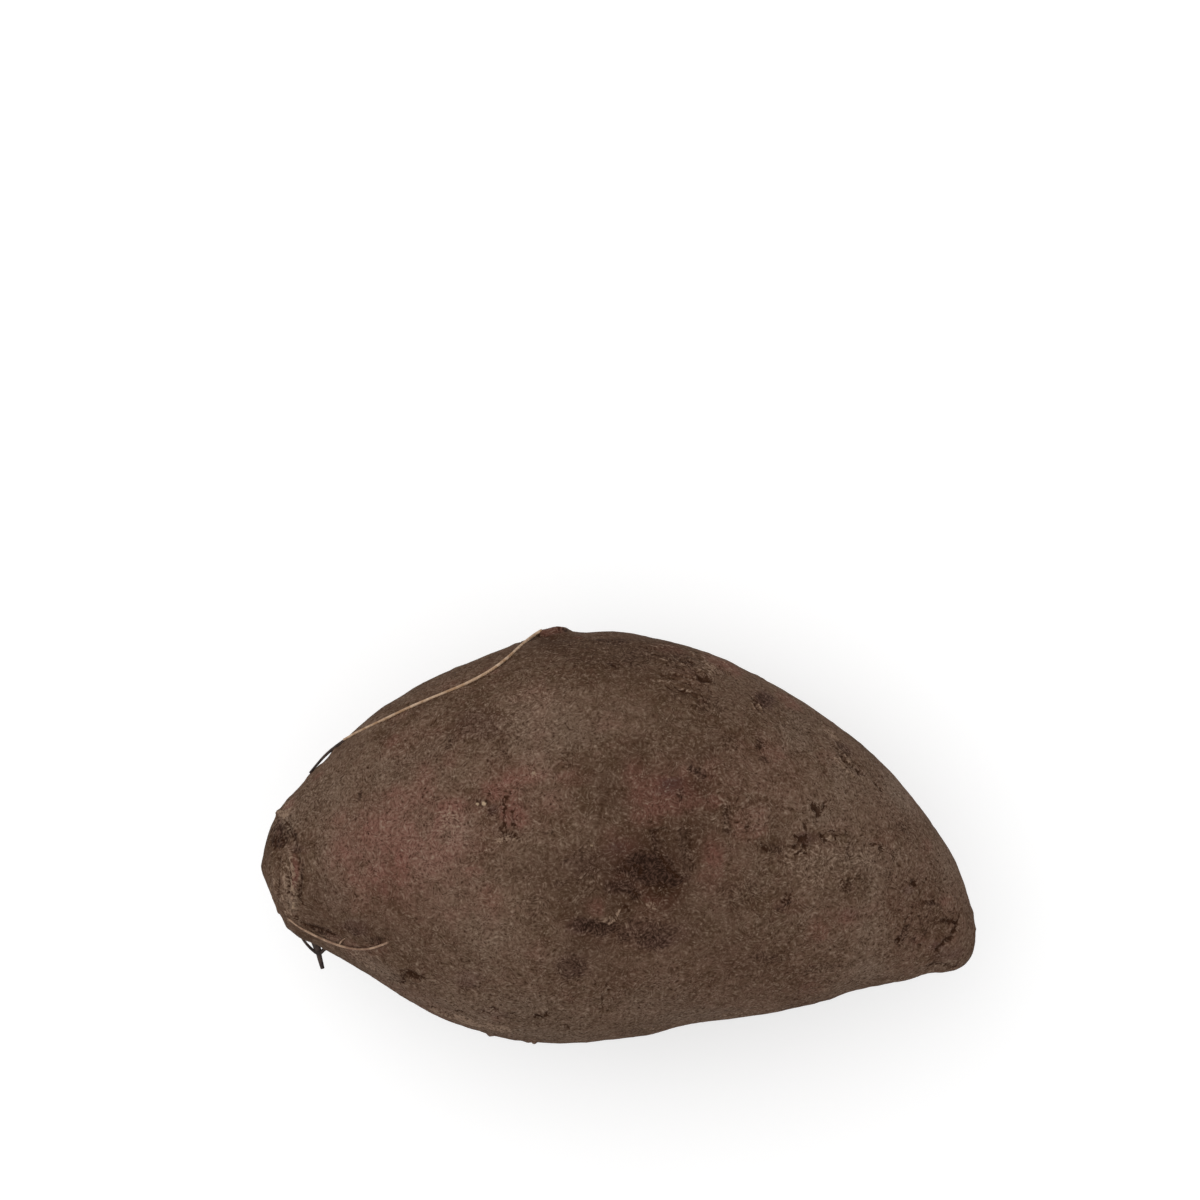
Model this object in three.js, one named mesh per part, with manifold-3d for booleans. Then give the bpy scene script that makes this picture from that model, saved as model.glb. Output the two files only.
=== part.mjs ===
// A sweet potato: one whole storage root, with the fine rootlets still on it, lying on its flatter side.
// Millimetres, +Z up. X runs from the stem end (-X) to the tail end (+X), and the humped flank faces +Y.
// The root is a sphere with its poles at the two ends, pulled out to the sections that STATIONS gives.
// Its rootlets and the wart that the longest one grows from are joined to it, because it grew as one piece.
import * as THREE from "three";
import { mergeVertices } from "three/addons/utils/BufferGeometryUtils.js";
import Module from "manifold-3d";

// Driving dimensions.
const LENGTH = 142.6; // stem scar to tail scar
const HALF_LENGTH = LENGTH / 2;
const FLAT_DEPTH = 0.6; // how much of the underside is flattened where the root lies

// How finely the root is faceted, from pole to pole and round it, and how finely its rootlets are.
const RINGS = 64;
const SIDES = 44;
const FIBRE_SIDES = 6;
const FIBRE_STEP = 4; // in fibre radii

// A section is a superellipse: 2 is an ellipse, and more is squarer.
const SECTION_POWER = 2.12;

// Sections along the root: x, then where its humped flank, its straight flank, its top and its underside lie there.
// Heights are measured from the middle of the root's ends.
const STATIONS = [
  { x: -71.3, hump: -6.2, straight: -6.2, top: 2.0, under: 2.0 },
  { x: -70.1, hump: 0.3, straight: -10.0, top: 7.4, under: -3.6 },
  { x: -67.7, hump: 5.8, straight: -16.1, top: 11.6, under: -8.0 },
  { x: -65.0, hump: 8.8, straight: -19.9, top: 14.2, under: -10.8 },
  { x: -59.3, hump: 14.6, straight: -22.4, top: 18.6, under: -15.4 },
  { x: -47.3, hump: 25.7, straight: -29.6, top: 27.0, under: -24.2 },
  { x: -35.3, hump: 32.4, straight: -36.6, top: 32.6, under: -30.6 },
  { x: -17.3, hump: 39.2, straight: -41.4, top: 36.8, under: -35.6 },
  { x: 0.7, hump: 40.6, straight: -40.6, top: 37.0, under: -36.4 },
  { x: 18.7, hump: 36.1, straight: -37.2, top: 34.6, under: -33.6 },
  { x: 36.7, hump: 26.6, straight: -34.1, top: 29.6, under: -27.4 },
  { x: 48.7, hump: 18.0, straight: -30.6, top: 24.6, under: -21.2 },
  { x: 60.7, hump: 4.8, straight: -28.4, top: 16.4, under: -14.0 },
  { x: 66.5, hump: -3.9, straight: -27.2, top: 11.0, under: -9.8 },
  { x: 70.1, hump: -13.1, straight: -24.2, top: 5.0, under: -5.4 },
  { x: 71.3, hump: -18.6, straight: -18.6, top: -0.4, under: -0.4 },
];

// Broad swellings (height above 0) and hollows (below 0) of the skin: place, radius and height.
const SWELLINGS = [
  { at: [-40, -6, 31], radius: 15, height: 0.9 },
  { at: [4, -8, 37], radius: 9, height: -0.8 },
  { at: [30, 6, 30], radius: 16, height: 0.7 },
  { at: [-14, 14, 35], radius: 14, height: 0.6 },
  { at: [48, -31, 5], radius: 4, height: -0.5 },
  { at: [61.5, -26.8, 2], radius: 3, height: -1.0 },
  { at: [67, -24, 1], radius: 4, height: 0.7 },
  { at: [-30, 18, -28], radius: 14, height: 0.8 },
  { at: [26, -12, -30], radius: 14, height: 0.8 },
  { at: [-9, 38, -13], radius: 6, height: 0.9 },
  { at: [-9, 32, -23], radius: 6, height: -1.0 },
  { at: [24, 26, -18], radius: 4, height: -0.9 },
  { at: [-56, -14, -14], radius: 4, height: -0.9 },
];

// The wart on the humped flank that the longest rootlet grows from.
const WART_RADIUS = 3.4;
const WART_STRETCH = [1.3, 0.6, 0.85];
const WART_AT = [-12.3, 39.9, -0.5];

// Rootlets on the skin: x, y and how far off the skin each point of the fibre's middle is.
const SKIN_FIBRES = [
  {
    name: "curled rootlet",
    radius: 0.36,
    side: "top",
    points: [
      [-65.0, -16.9, -0.2],
      [-62.5, -18.9, 0.2],
      [-59.4, -20.3, 0.5],
      [-55.0, -21.7, 0.6],
      [-51.9, -22.3, 0.5],
      [-49.2, -22.1, 0.4],
      [-46.5, -21.4, 0.1],
    ],
  },
  {
    name: "side rootlet below",
    radius: 0.32,
    side: "under",
    points: [
      [-29.3, -34.0, -0.1],
      [-33.2, -32.6, 0.4],
      [-36.7, -31.0, -0.1],
    ],
  },
  {
    name: "root stub below",
    radius: 0.7,
    side: "under",
    points: [
      [-42.8, -9.6, -0.6],
      [-41.5, -8.6, 1.1],
    ],
  },
  {
    name: "pale fibre of the lower tuft",
    radius: 0.34,
    side: "under",
    points: [
      [-56.8, -14.6, -0.6],
      [-58.2, -13.6, 0.8],
      [-60.4, -14.9, 1.0],
      [-63.0, -13.6, 0.9],
    ],
  },
  {
    name: "short fibre of the lower tuft",
    radius: 0.3,
    side: "under",
    points: [
      [-56.2, -15.4, -0.6],
      [-57.6, -16.4, 0.7],
      [-59.6, -16.2, 0.6],
    ],
  },
];

// The long rootlet runs from the wart over the skin, then leaves it to hang past the flank down to the stem scar.
const LONG_ROOTLET_RADIUS = 0.36;
const LONG_ROOTLET_ON_SKIN = [
  [-15.6, 41.0, 0],
  [-17.4, 39.4, 0.4],
  [-20.4, 36.6, 0.7],
  [-24.6, 32.9, 0.5],
  [-31.0, 29.4, 0.4],
  [-40.2, 25.4, 0.4],
  [-47.4, 21.8, 0.4],
  [-53.6, 18.6, 0.5],
];
const LONG_ROOTLET_HANGING = [
  [-58.0, 16.7, 5.6],
  [-60.4, 14.1, 4.0],
  [-63.0, 11.0, 2.9],
  [-66.0, 7.4, 2.2],
];

// The dark tuft of dead root that hangs from the straight flank, as fibres through points in space.
const TUFT = [
  {
    name: "thick top of the stalk",
    radius: 0.85,
    points: [
      [-61.6, -19.8, -2.0],
      [-61.3, -21.8, -2.6],
      [-60.8, -23.8, -3.2],
    ],
  },
  {
    name: "thin end of the stalk",
    radius: 0.42,
    points: [
      [-61.0, -22.6, -2.9],
      [-60.7, -24.4, -3.4],
      [-60.1, -26.8, -4.2],
    ],
  },
  {
    name: "loop towards the stem",
    radius: 0.26,
    points: [
      [-64.0, -19.6, -1.4],
      [-62.8, -22.0, -2.2],
      [-61.1, -23.4, -3.0],
    ],
  },
  {
    name: "arm towards the tail",
    radius: 0.34,
    points: [
      [-57.9, -21.6, -2.0],
      [-59.2, -23.1, -2.7],
      [-60.5, -23.7, -3.2],
    ],
  },
];

// How far along the root x is, from 0 at the stem end to 1 at the tail end, as an angle's share of half a turn.
const along = (x) => Math.acos(THREE.MathUtils.clamp(-x / HALF_LENGTH, -1, 1)) / Math.PI;
const KNOTS = STATIONS.map((station) => along(station.x));

// A station's side at u, by a cubic through the stations with slopes taken from their neighbours.
function sideAt(side, u) {
  const last = STATIONS.length - 1;
  const i = THREE.MathUtils.clamp(KNOTS.findIndex((knot) => knot > u) - 1, 0, last - 1);
  const k = u >= KNOTS[last] ? last - 1 : i;
  const value = (n) => STATIONS[n][side];
  const slope = (n) => {
    const before = Math.max(n - 1, 0);
    const after = Math.min(n + 1, last);
    return (value(after) - value(before)) / (KNOTS[after] - KNOTS[before]);
  };
  const span = KNOTS[k + 1] - KNOTS[k];
  const t = (u - KNOTS[k]) / span;
  return (
    value(k) * (2 * t ** 3 - 3 * t ** 2 + 1) +
    slope(k) * span * (t ** 3 - 2 * t ** 2 + t) +
    value(k + 1) * (3 * t ** 2 - 2 * t ** 3) +
    slope(k + 1) * span * (t ** 3 - t ** 2)
  );
}

// The section at u: its centre and its half sizes. The widest line lies between its top and its underside.
function sectionAt(u) {
  const hump = sideAt("hump", u);
  const straight = sideAt("straight", u);
  const top = sideAt("top", u);
  const under = sideAt("under", u);
  return {
    y: (hump + straight) / 2,
    z: (top + under) / 2,
    wide: (hump - straight) / 2,
    deep: (top - under) / 2,
  };
}

// A circle's cosine or sine, squared up to the section's power.
const squared = (share) => Math.sign(share) * Math.abs(share) ** (2 / SECTION_POWER);

// How far the swellings near a point lift the skin there.
function liftAt(point) {
  let lift = 0;
  for (const swelling of SWELLINGS) {
    const distance = point.distanceTo(new THREE.Vector3(...swelling.at)) / swelling.radius;
    lift += swelling.height * Math.exp(-(distance ** 2));
  }
  return lift;
}

// The point that lies off the skin's top or underside at x and y.
function offSkin(x, y, off, side) {
  const section = sectionAt(along(x));
  const aside = Math.min(Math.abs(y - section.y) / section.wide, 1);
  const rise = section.deep * squared(Math.sqrt(1 - aside ** SECTION_POWER));
  const outward = side === "top" ? 1 : -1;
  const point = new THREE.Vector3(x, y, section.z + outward * rise);
  point.z += outward * (liftAt(point) + off);
  return point;
}

// The root itself: a sphere with its poles on X, each point taken to its section.
function rootGeometry() {
  const geometry = new THREE.SphereGeometry(1, SIDES, RINGS).rotateZ(Math.PI / 2);
  const position = geometry.getAttribute("position");
  for (let i = 0; i < position.count; i++) {
    const onSphere = new THREE.Vector3().fromBufferAttribute(position, i);
    const u = Math.acos(THREE.MathUtils.clamp(-onSphere.x, -1, 1)) / Math.PI;
    const section = sectionAt(u);
    const across = Math.hypot(onSphere.y, onSphere.z) || 1;
    const outward = new THREE.Vector3(0, onSphere.y / across, onSphere.z / across);
    const point = new THREE.Vector3(
      onSphere.x * HALF_LENGTH,
      section.y + section.wide * squared(outward.y),
      section.z + section.deep * squared(outward.z),
    );
    // At the poles the swellings push along X, and elsewhere away from the root's line.
    point.addScaledVector(onSphere, liftAt(point));
    position.setXYZ(i, point.x, point.y, point.z);
  }
  return geometry;
}

// A round fibre along a smooth curve through points.
function fibreGeometry(points, radius) {
  const path = new THREE.CatmullRomCurve3(points);
  const section = new THREE.Shape().absarc(0, 0, radius, 0, 2 * Math.PI);
  return new THREE.ExtrudeGeometry(section, {
    steps: Math.ceil(path.getLength() / (FIBRE_STEP * radius)),
    curveSegments: FIBRE_SIDES / 2,
    bevelEnabled: false,
    extrudePath: path,
  });
}

function wartGeometry() {
  return new THREE.SphereGeometry(WART_RADIUS, 16, 12).scale(...WART_STRETCH).translate(...WART_AT);
}

function longRootletGeometry() {
  const onSkin = LONG_ROOTLET_ON_SKIN.map(([x, y, off]) => offSkin(x, y, off, "top"));
  const hanging = LONG_ROOTLET_HANGING.map((point) => new THREE.Vector3(...point));
  return fibreGeometry([...onSkin, ...hanging], LONG_ROOTLET_RADIUS);
}

function skinFibreGeometry(fibre) {
  const points = fibre.points.map(([x, y, off]) => offSkin(x, y, off, fibre.side));
  return fibreGeometry(points, fibre.radius);
}

function tuftGeometry(fibre) {
  const points = fibre.points.map((point) => new THREE.Vector3(...point));
  return fibreGeometry(points, fibre.radius);
}

const wasm = await Module();
wasm.setup();

// A closed geometry as a solid that can be joined and cut.
function solidFrom(geometry) {
  const bare = geometry.clone();
  bare.deleteAttribute("normal");
  bare.deleteAttribute("uv");
  const merged = mergeVertices(bare, 1e-4);
  return new wasm.Manifold(
    new wasm.Mesh({
      numProp: 3,
      vertProperties: new Float32Array(merged.getAttribute("position").array),
      triVerts: new Uint32Array(merged.index.array),
    }),
  );
}

// A solid back as a geometry.
function geometryFrom(solid) {
  const mesh = solid.getMesh();
  const geometry = new THREE.BufferGeometry();
  geometry.setAttribute("position", new THREE.BufferAttribute(mesh.vertProperties, 3));
  geometry.setIndex(new THREE.BufferAttribute(mesh.triVerts, 1));
  geometry.computeVertexNormals();
  return geometry;
}

// The root with its wart and rootlets, cut flat below where it lies, and set down on z = 0.
function tuberGeometry() {
  const root = rootGeometry();
  root.computeBoundingBox();
  const floor = root.boundingBox.min.z + FLAT_DEPTH;
  const pieces = [
    wartGeometry(),
    longRootletGeometry(),
    ...SKIN_FIBRES.map(skinFibreGeometry),
    ...TUFT.map(tuftGeometry),
  ];
  const whole = pieces.reduce((solid, piece) => solid.add(solidFrom(piece)), solidFrom(root));
  const below = new THREE.BoxGeometry(2 * LENGTH, 2 * LENGTH, LENGTH).translate(0, 0, floor - LENGTH / 2);
  const geometry = geometryFrom(whole.subtract(solidFrom(below)));
  geometry.computeBoundingBox();
  const middle = geometry.boundingBox.getCenter(new THREE.Vector3());
  return geometry.translate(-middle.x, -middle.y, -geometry.boundingBox.min.z);
}

const skin = new THREE.MeshStandardMaterial({ color: 0x5c473a, roughness: 0.85, metalness: 0 });

const sweetPotato = new THREE.Group();
const tuber = new THREE.Mesh(tuberGeometry(), skin);
tuber.name = "tuber";
sweetPotato.add(tuber);

export default sweetPotato;
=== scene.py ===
import math
import bpy
import numpy as np
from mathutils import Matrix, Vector, noise
from mathutils.bvhtree import BVHTree


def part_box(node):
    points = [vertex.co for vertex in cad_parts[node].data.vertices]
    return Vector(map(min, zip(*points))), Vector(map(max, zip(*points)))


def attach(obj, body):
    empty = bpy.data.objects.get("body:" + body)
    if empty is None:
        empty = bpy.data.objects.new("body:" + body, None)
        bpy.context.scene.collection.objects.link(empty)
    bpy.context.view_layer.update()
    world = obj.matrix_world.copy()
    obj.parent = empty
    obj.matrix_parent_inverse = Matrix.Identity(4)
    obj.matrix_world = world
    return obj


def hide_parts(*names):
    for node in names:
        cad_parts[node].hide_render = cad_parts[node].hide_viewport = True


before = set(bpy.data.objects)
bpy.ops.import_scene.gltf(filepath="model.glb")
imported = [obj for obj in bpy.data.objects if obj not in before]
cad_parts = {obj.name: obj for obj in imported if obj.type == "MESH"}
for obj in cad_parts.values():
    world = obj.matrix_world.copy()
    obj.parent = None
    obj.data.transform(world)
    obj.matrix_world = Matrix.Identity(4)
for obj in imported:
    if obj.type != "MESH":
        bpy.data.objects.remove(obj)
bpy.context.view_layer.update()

MM = 0.001
END_HEIGHT = 36.0       # of the root's two ends, above what it lies on

# The skin starts as a cube. Its edges are cut this many times, and every part is then halved.
CUTS_FIRST = 41
SECTIONS = 19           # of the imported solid, whose middles make the root's middle line
SECTION_REACH = 3       # how far a section reaches along the root to both sides
INNER_LINE = 0.62       # the share of the root's length from which the skin's points look outwards
FIBRE_CLEARING = 2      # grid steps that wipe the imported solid's rootlets off the skin
SMOOTHING_ROUNDS = 16   # wipes its facets off

# Faces near a small mark are cut in four, within each of these distances of it.
FINER_WITHIN = (2.0, 0.8)
SMALL_MARK = 3.5        # a small spot's half length is below this

# The skin's own roughness: the height of its noise, the width of its lumps, and a shift to its own place.
ROUGHNESS = ((0.3, 13.0, 0), (0.13, 4.2, 7), (0.07, 1.7, 19))
CRUST_WIDTH = 1.3       # of the lumps on scurf and cork
SCURF_HEIGHT = 0.12
CORK_HEIGHT = 0.14
SAP_HEIGHT = 0.35

# The noise that pushes the edges of broad and fine marks about: its seed, its widths and its distances.
NOISE_SEED = 360
BROAD_PUSHES = ((5.0, 0.9), (1.6, 0.5))
FINE_PUSHES = ((1.6, 0.35), (0.6, 0.16))

# Marks are placed as they are seen from above or below the middle of the root, at the height of its middle.
MIDDLE_HEIGHT = 37
EYES = {"above": (-3.9, 46.9, 937), "below": (-3.1, -48.9, -863)}
TALLEST_SPOT = 24       # a spot's half height is at most this

# A mark is full up to the first of these distances from its middle and gone at the second, both in its own
# half sizes.
SPOT_EDGE = (0.6, 1.5)
SOFT_EDGE = (0.2, 1.6)  # of a change in lightness, painted light and shade included, and of one in grain
CORK_EDGE = (0.5, 1.8)
GAP_EDGE = (0.5, 1.6)   # of the gap in the scurf along a ridge

# The rim of a pit and the lips of a crease: how far out they are and how wide, in the mark's half sizes, and
# their height as a share of its depth.
PIT_RIM = (1.9, 0.6, 0.35)
CREASE_LIPS = (2.2, 0.9, 0.3)

# Spots of colour: x, y, half length, half width, turn in degrees, and strength from 0 to 1.
SPOTS = {
    "rosy": {
        "above": [
            (-43, -2, 15, 10, 0, 0.28), (-46, 0.2, 5, 3, -8, 0.6), (-40, -4.6, 4, 3, 0, 0.65),
            (-50, -7, 6, 4.6, 0, 0.2), (-56, -3.5, 2.6, 2.4, 0, 0.24), (-55.5, 2.5, 1.6, 2.4, 0, 0.18),
            (-33.5, 1.6, 2.6, 4.4, 0, 0.66), (-36, -2, 3, 3, 0, 0.2), (-44, 7, 3, 3, 0, 0.34),
            (-39, 10, 1.8, 4, 0, 0.28), (-29.5, -7.2, 1.8, 1.4, 0, 0.3), (-38, -14, 15, 6, -4, 0.08),
            (-32, -15.4, 3, 1.2, 0, 0.15), (-25.6, -12, 1.6, 2.4, 20, 0.2), (-52, -14.6, 2.4, 2, 0, 0.15),
            (-26.4, -17, 1.6, 3, 0, 0.12), (-40, 17, 7, 5, 0, 0.08), (-45.8, 19, 1.6, 1.4, 0, 0.24),
            (-36.4, 20.6, 1.4, 1, 0, 0.2), (-34, 15, 1, 1.6, 0, 0.16), (-43.6, 24, 2.4, 1.2, 0, 0.1),
            (-23, 9, 3, 2.2, 0, 0.44), (-20, 12, 4.6, 1.8, 0, 0.3), (-21.6, 4.6, 2.2, 2.4, 0, 0.55),
            (-19.6, 3, 1, 1.2, 0, 0.3), (-25.6, 8.6, 2, 1.6, 0, 0.2), (-9.6, 11, 3, 1.6, 0, 0.2),
            (-13.6, 6.6, 2, 2, 0, 0.16), (-20, 8, 9, 7, 0, 0.1), (-16, 22, 1.6, 8, 0, 0.14),
            (-17, 28, 5, 1.4, 0, 0.1), (-26, 32.6, 1.6, 1, 0, 0.2), (-34, 30, 2.4, 0.8, 0, 0.15),
            (-2, 22.4, 3, 1.4, 30, 0.15), (9, 9.6, 2, 1.8, 0, 0.75), (8, -11.4, 3, 2, 0, 0.3),
            (2, -4, 3, 3, 0, 0.2), (26, 2, 3.4, 3, 0, 0.25), (-32, -15.6, 4, 2, 0, 0.12),
            (52, -3, 2.4, 3, 0, 0.12), (-52, -24, 4, 2, -30, 0.15), (14, 31, 3, 2, 0, 0.1),
            (-45, 17, 3, 2, 0, 0.1), (7, 7.6, 5, 3, 0, 0.46), (3, 12.6, 2, 2.6, 0, 0.3),
            (10.6, 8.6, 9, 6, 0, 0.16), (9, 10, 2, 1.6, 0, 0.3), (9, -10.6, 3, 2.4, 0, 0.25),
            (11.6, 8, 4, 3, 0, 0.5), (5, 3.4, 3, 2, 0, 0.3), (56, 8, 6, 8, 0, 0.08),
            (-65.2, -9, 0.5, 4, 0, 0.5), (13.6, 12, 1.4, 1.6, 0, 0.2), (18.4, 6.6, 1.6, 1.2, 0, 0.45),
            (18.6, 12.6, 1.6, 2.6, 0, 0.2), (28, 12, 9, 7, 0, 0.09), (58, 7, 3, 3, 0, 0.15),
            (3, -20, 9, 3, 0, 0.1), (-58, -5, 2, 2, 0, 0.14), (-40, -34, 9, 3, -30, 0.14),
            (31, 17, 3, 2, 0, 0.1), (27.4, 0.4, 1.6, 1.2, 0, 0.2), (19, -3, 1.8, 3, 20, 0.36),
            (18, -8.4, 2, 1.6, 0, 0.26), (20, -6, 5, 6, 0, 0.1), (0, -1.6, 4, 3.4, 0, 0.15),
            (3, -8, 3, 3, 0, 0.2), (17.4, -4, 1, 1.6, 0, 0.35), (-4.6, -14.4, 1.6, 1.8, 0, 0.36),
            (6.4, -12.8, 1.4, 1, 0, 0.55), (9, -11.6, 1.2, 0.6, -20, 0.7), (8.4, -13, 3, 1.6, 0, 0.2),
            (1.4, -2.8, 0.8, 0.7, 0, 0.5), (0.2, -8, 0.6, 1, 0, 0.6), (7, -13, 4.6, 4, 0, 0.12),
            (34, -14, 3, 1.6, 0, 0.14), (39.6, -19, 2, 2, 0, 0.22), (45.6, -16.6, 2.2, 1.4, 0, 0.2),
            (43, -17, 6, 3, 0, 0.1), (50.6, -15, 2, 1.2, 0, 0.12), (41.8, 15, 2, 1.4, 0, 0.16),
            (44, 2, 1.8, 1.6, 0, 0.16), (61.6, -2.4, 1.4, 1.6, 0, 0.16), (38.6, -31, 2.4, 1.8, 0, 0.12),
            (-49, -22.6, 3, 1.4, 15, 0.16), (-57.6, -20.6, 1.6, 1, 0, 0.16), (-16.6, -23.6, 2, 2, 0, 0.12),
            (-25, -36.8, 1.6, 1, 0, 0.2), (-10.4, -32.4, 1.4, 1.6, 0, 0.1), (-65.4, -10, 1, 3, 0, 0.1),
            (-66, 5, 1.6, 1.6, 0, 0.1), (-13.8, 40.5, 2.2, 1, 0, 1), (-8, 39.2, 1, 0.3, 0, 0.5),
            (60, -21, 1.6, 1, 0, 0.2), (64.6, -13, 2, 1, 0, 0.2), (25, -30, 30, 8, 0, 0.06),
            (62, -15, 10, 12, 0, 0.08), (21, 34, 4, 1.6, -30, 0.3), (34, 26.6, 3, 1.2, -35, 0.3),
            (10, 37, 3, 1, -10, 0.3), (-67.9, 2, 0.5, 1.4, 0, 0.4), (-66, 6.4, 1.4, 0.8, 40, 0.4),
            (-60.4, 12, 1, 1, 45, 0.4),
        ],
        "below": [
            (-40, 16, 20, 11, -15, 0.26), (-50, 9, 9, 7, 0, 0.15), (-38, 4, 6, 6, 0, 0.2),
            (-58, 4, 5, 7, 0, 0.16), (-44, 20, 6, 3, 0, 0.16), (-29, 25, 9, 5, 10, 0.25),
            (-30, -3, 4.5, 9, 0, 0.16), (-53, -6, 4, 7, 0, 0.16), (-36, -13, 3.5, 4.5, 0, 0.16),
            (-48.6, -1.6, 2, 0.5, 10, 0.6), (11, 20, 3, 3, 0, 0.2), (17, 20, 3.5, 2.5, 0, 0.2),
            (35, 11, 5, 3, 0, 0.2), (55, -12, 11, 7, 0, 0.08), (47, 9, 10, 8, 0, 0.18),
            (28, 22, 8, 6, 0, 0.14), (48, -2.6, 3, 2, 0, 0.12), (63, -10, 3.5, 7, -15, 0.14),
            (9, 17, 2, 2, 0, 0.16), (-50, -11, 4, 4, 0, 0.1), (-28, -16, 3, 3, 0, 0.12),
            (30, -19, 9, 2.5, 0, 0.14), (16, -18, 2.5, 1.5, 0, 0.2), (38, -6, 1.6, 2, 0, 0.3),
            (6, 36, 9, 3, 0, 0.14), (40, 22, 10, 5, -40, 0.1), (-20, 18, 6, 4, 0, 0.14),
            (-27, 4, 3, 3, 0, 0.16),
        ],
    },
    "scurf": {
        "above": [
            (5.6, -5.2, 3.8, 1.5, -6, 1), (8, -7.4, 2.6, 2.6, 0, 1), (10.6, -8.8, 1.8, 1.3, -20, 1),
            (1.4, -6.6, 2.4, 1.4, 0, 0.6), (3.6, -7.8, 2.2, 1.4, 0, 0.75), (5.6, -9, 2, 1.2, 0, 0.6),
            (0, -10.6, 2.6, 1.4, 0, 0.55), (3, -11.8, 1.5, 1, -30, 0.6), (9.4, -10.6, 1.6, 0.7, 0, 0.65),
            (7.2, -2.6, 0.9, 1.6, 0, 0.5), (6.9, 0, 0.6, 1.2, 0, 0.6), (8.6, 1.4, 1, 0.4, 0, 0.4),
            (13.4, -3, 1.4, 6, 4, 0.4), (-6.6, -18, 2.6, 1.4, 0, 0.6), (-4, -18.7, 3.2, 1.5, -8, 0.75),
            (1, -20.6, 1.2, 1, 0, 0.6), (6.5, -21.4, 3.4, 1.8, 0, 0.5), (9, -18.8, 3, 1.6, 0, 0.4),
            (3, -18.6, 4.6, 1.8, 0, 0.35), (-9.4, -26.6, 3.2, 2.4, 0, 0.45), (-8.2, -27.4, 2, 0.8, 40, 0.3),
            (-6.6, -7, 2.4, 5, 0, 0.3), (-10.8, -5.8, 1, 0.5, 0, 0.7), (15, 13.4, 2.2, 0.8, -30, 0.6),
            (16.6, 12, 1.4, 1.2, 0, 0.5), (12, 7.6, 0.9, 1.3, 0, 0.6), (14.6, 4.6, 0.8, 0.5, 0, 0.5),
            (21.4, 3.4, 1.1, 2.4, 0, 0.45), (21.7, 1, 1, 0.5, 0, 0.5), (31, -3, 2.6, 1, 0, 0.4),
            (46, -3.6, 0.7, 2, 0, 0.4), (45, -10.2, 1.2, 1.8, 0, 0.45), (47.6, -9, 1.6, 1, 0, 0.3),
            (33.4, -13.2, 1, 0.8, 0, 0.6), (32, -14.8, 1.2, 0.8, 0, 0.55), (30, -24.4, 4, 0.9, 0, 0.4),
            (24, -12, 4, 2.6, 0, 0.25), (22.4, 18, 2.2, 2, 0, 0.3), (28.4, 18.2, 0.9, 1.4, -30, 0.5),
            (28.6, 15.2, 0.7, 0.8, 0, 0.5), (18, 25.6, 3, 1.4, 0, 0.35), (12, 27.8, 2, 1, 0, 0.35),
            (12, 34.8, 4, 1.6, -12, 0.4), (4, 35.4, 4, 2, 0, 0.3), (-1, 33.8, 0.8, 0.6, 0, 0.6),
            (-4, 36, 9, 3, 0, 0.2), (29, 27, 1.8, 2, -30, 0.55), (44.4, 17, 2.4, 0.9, -42, 0.45),
            (48, 12.8, 1.8, 0.8, -42, 0.4), (57, -19.4, 0.8, 2.6, -22, 0.55), (62.4, -13.4, 1.4, 0.6, 0, 0.6),
            (58.8, -20.9, 1, 0.7, 20, 0.55), (61.3, -19.4, 0.6, 0.6, 0, 0.5), (62, -16, 3.4, 3, 0, 0.25),
            (-67.9, 0.4, 2.3, 2.9, 0, 0.6), (-68.6, -1.8, 1.6, 1, 0, 0.6), (-65.3, -0.4, 0.7, 1.7, 8, 0.6),
            (-64.8, -3.2, 1.4, 0.9, 0, 0.5), (-63.8, -9.6, 0.5, 3.4, 0, 0.6),
            (-59.6, -19.3, 3.6, 0.7, -20, 0.7), (-49, -20.9, 2, 0.8, 0, 0.55),
            (-53.4, -19.2, 2.4, 0.8, 0, 0.4), (-52.4, 8, 0.5, 1.4, 0, 0.6), (-52.6, 3.2, 0.5, 0.6, 0, 0.4),
            (-41.4, -28, 2, 0.8, -15, 0.5), (-45, -28.8, 1.4, 0.8, 0, 0.4), (-30, -30.6, 2.4, 1, 0, 0.35),
            (-21.2, 2.6, 0.6, 1.3, 0, 0.6), (-22.4, 0, 1.6, 0.8, 0, 0.4), (-27.6, 6.3, 1.4, 0.9, 0, 0.5),
            (-25.6, 4.6, 0.8, 1.2, 0, 0.4), (-14, 0.6, 1, 0.5, 0, 0.5), (-19, 9, 1.4, 1, 0, 0.25),
            (-18, 7, 0.8, 0.8, 0, 0.3), (-11, 40.4, 0.9, 0.9, 0, 0.7), (-2, 38.6, 4, 0.6, 0, 0.5),
            (-28, 21, 4, 3, 0, 0.2), (-23, 17, 2, 2.4, 0, 0.3), (-34, 19, 0.9, 2, 0, 0.4),
            (-10.4, 14.6, 1, 1.4, 0, 0.35), (40, -27, 5, 1, 8, 0.25), (54.6, -4.6, 2, 1.4, 0, 0.25),
            (53.6, -7.6, 1.6, 1, 0, 0.3), (56.6, 1.6, 0.6, 1.6, 30, 0.4), (-33, -12, 2, 1, 0, 0.2),
            (-17, -14, 3, 2, 0, 0.25), (-12, -10, 1.4, 1, 0, 0.4), (-20, -8, 2, 1.4, 0, 0.2),
        ],
        "below": [
            (-8, 33, 9, 5, -5, 0.3), (-3, 37, 4.5, 1.6, 10, 0.45), (2, 23, 6, 3.6, 0, 0.3),
            (-15, 28, 3.5, 5, 0, 0.2), (0, 17, 6, 2.6, 0, 0.2), (1, -4.5, 6, 2.4, 0, 0.35),
            (14, 4, 4, 2.6, 0, 0.25), (13, -11, 6, 2, 0, 0.2), (23, -9, 8, 2, 10, 0.2),
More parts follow.
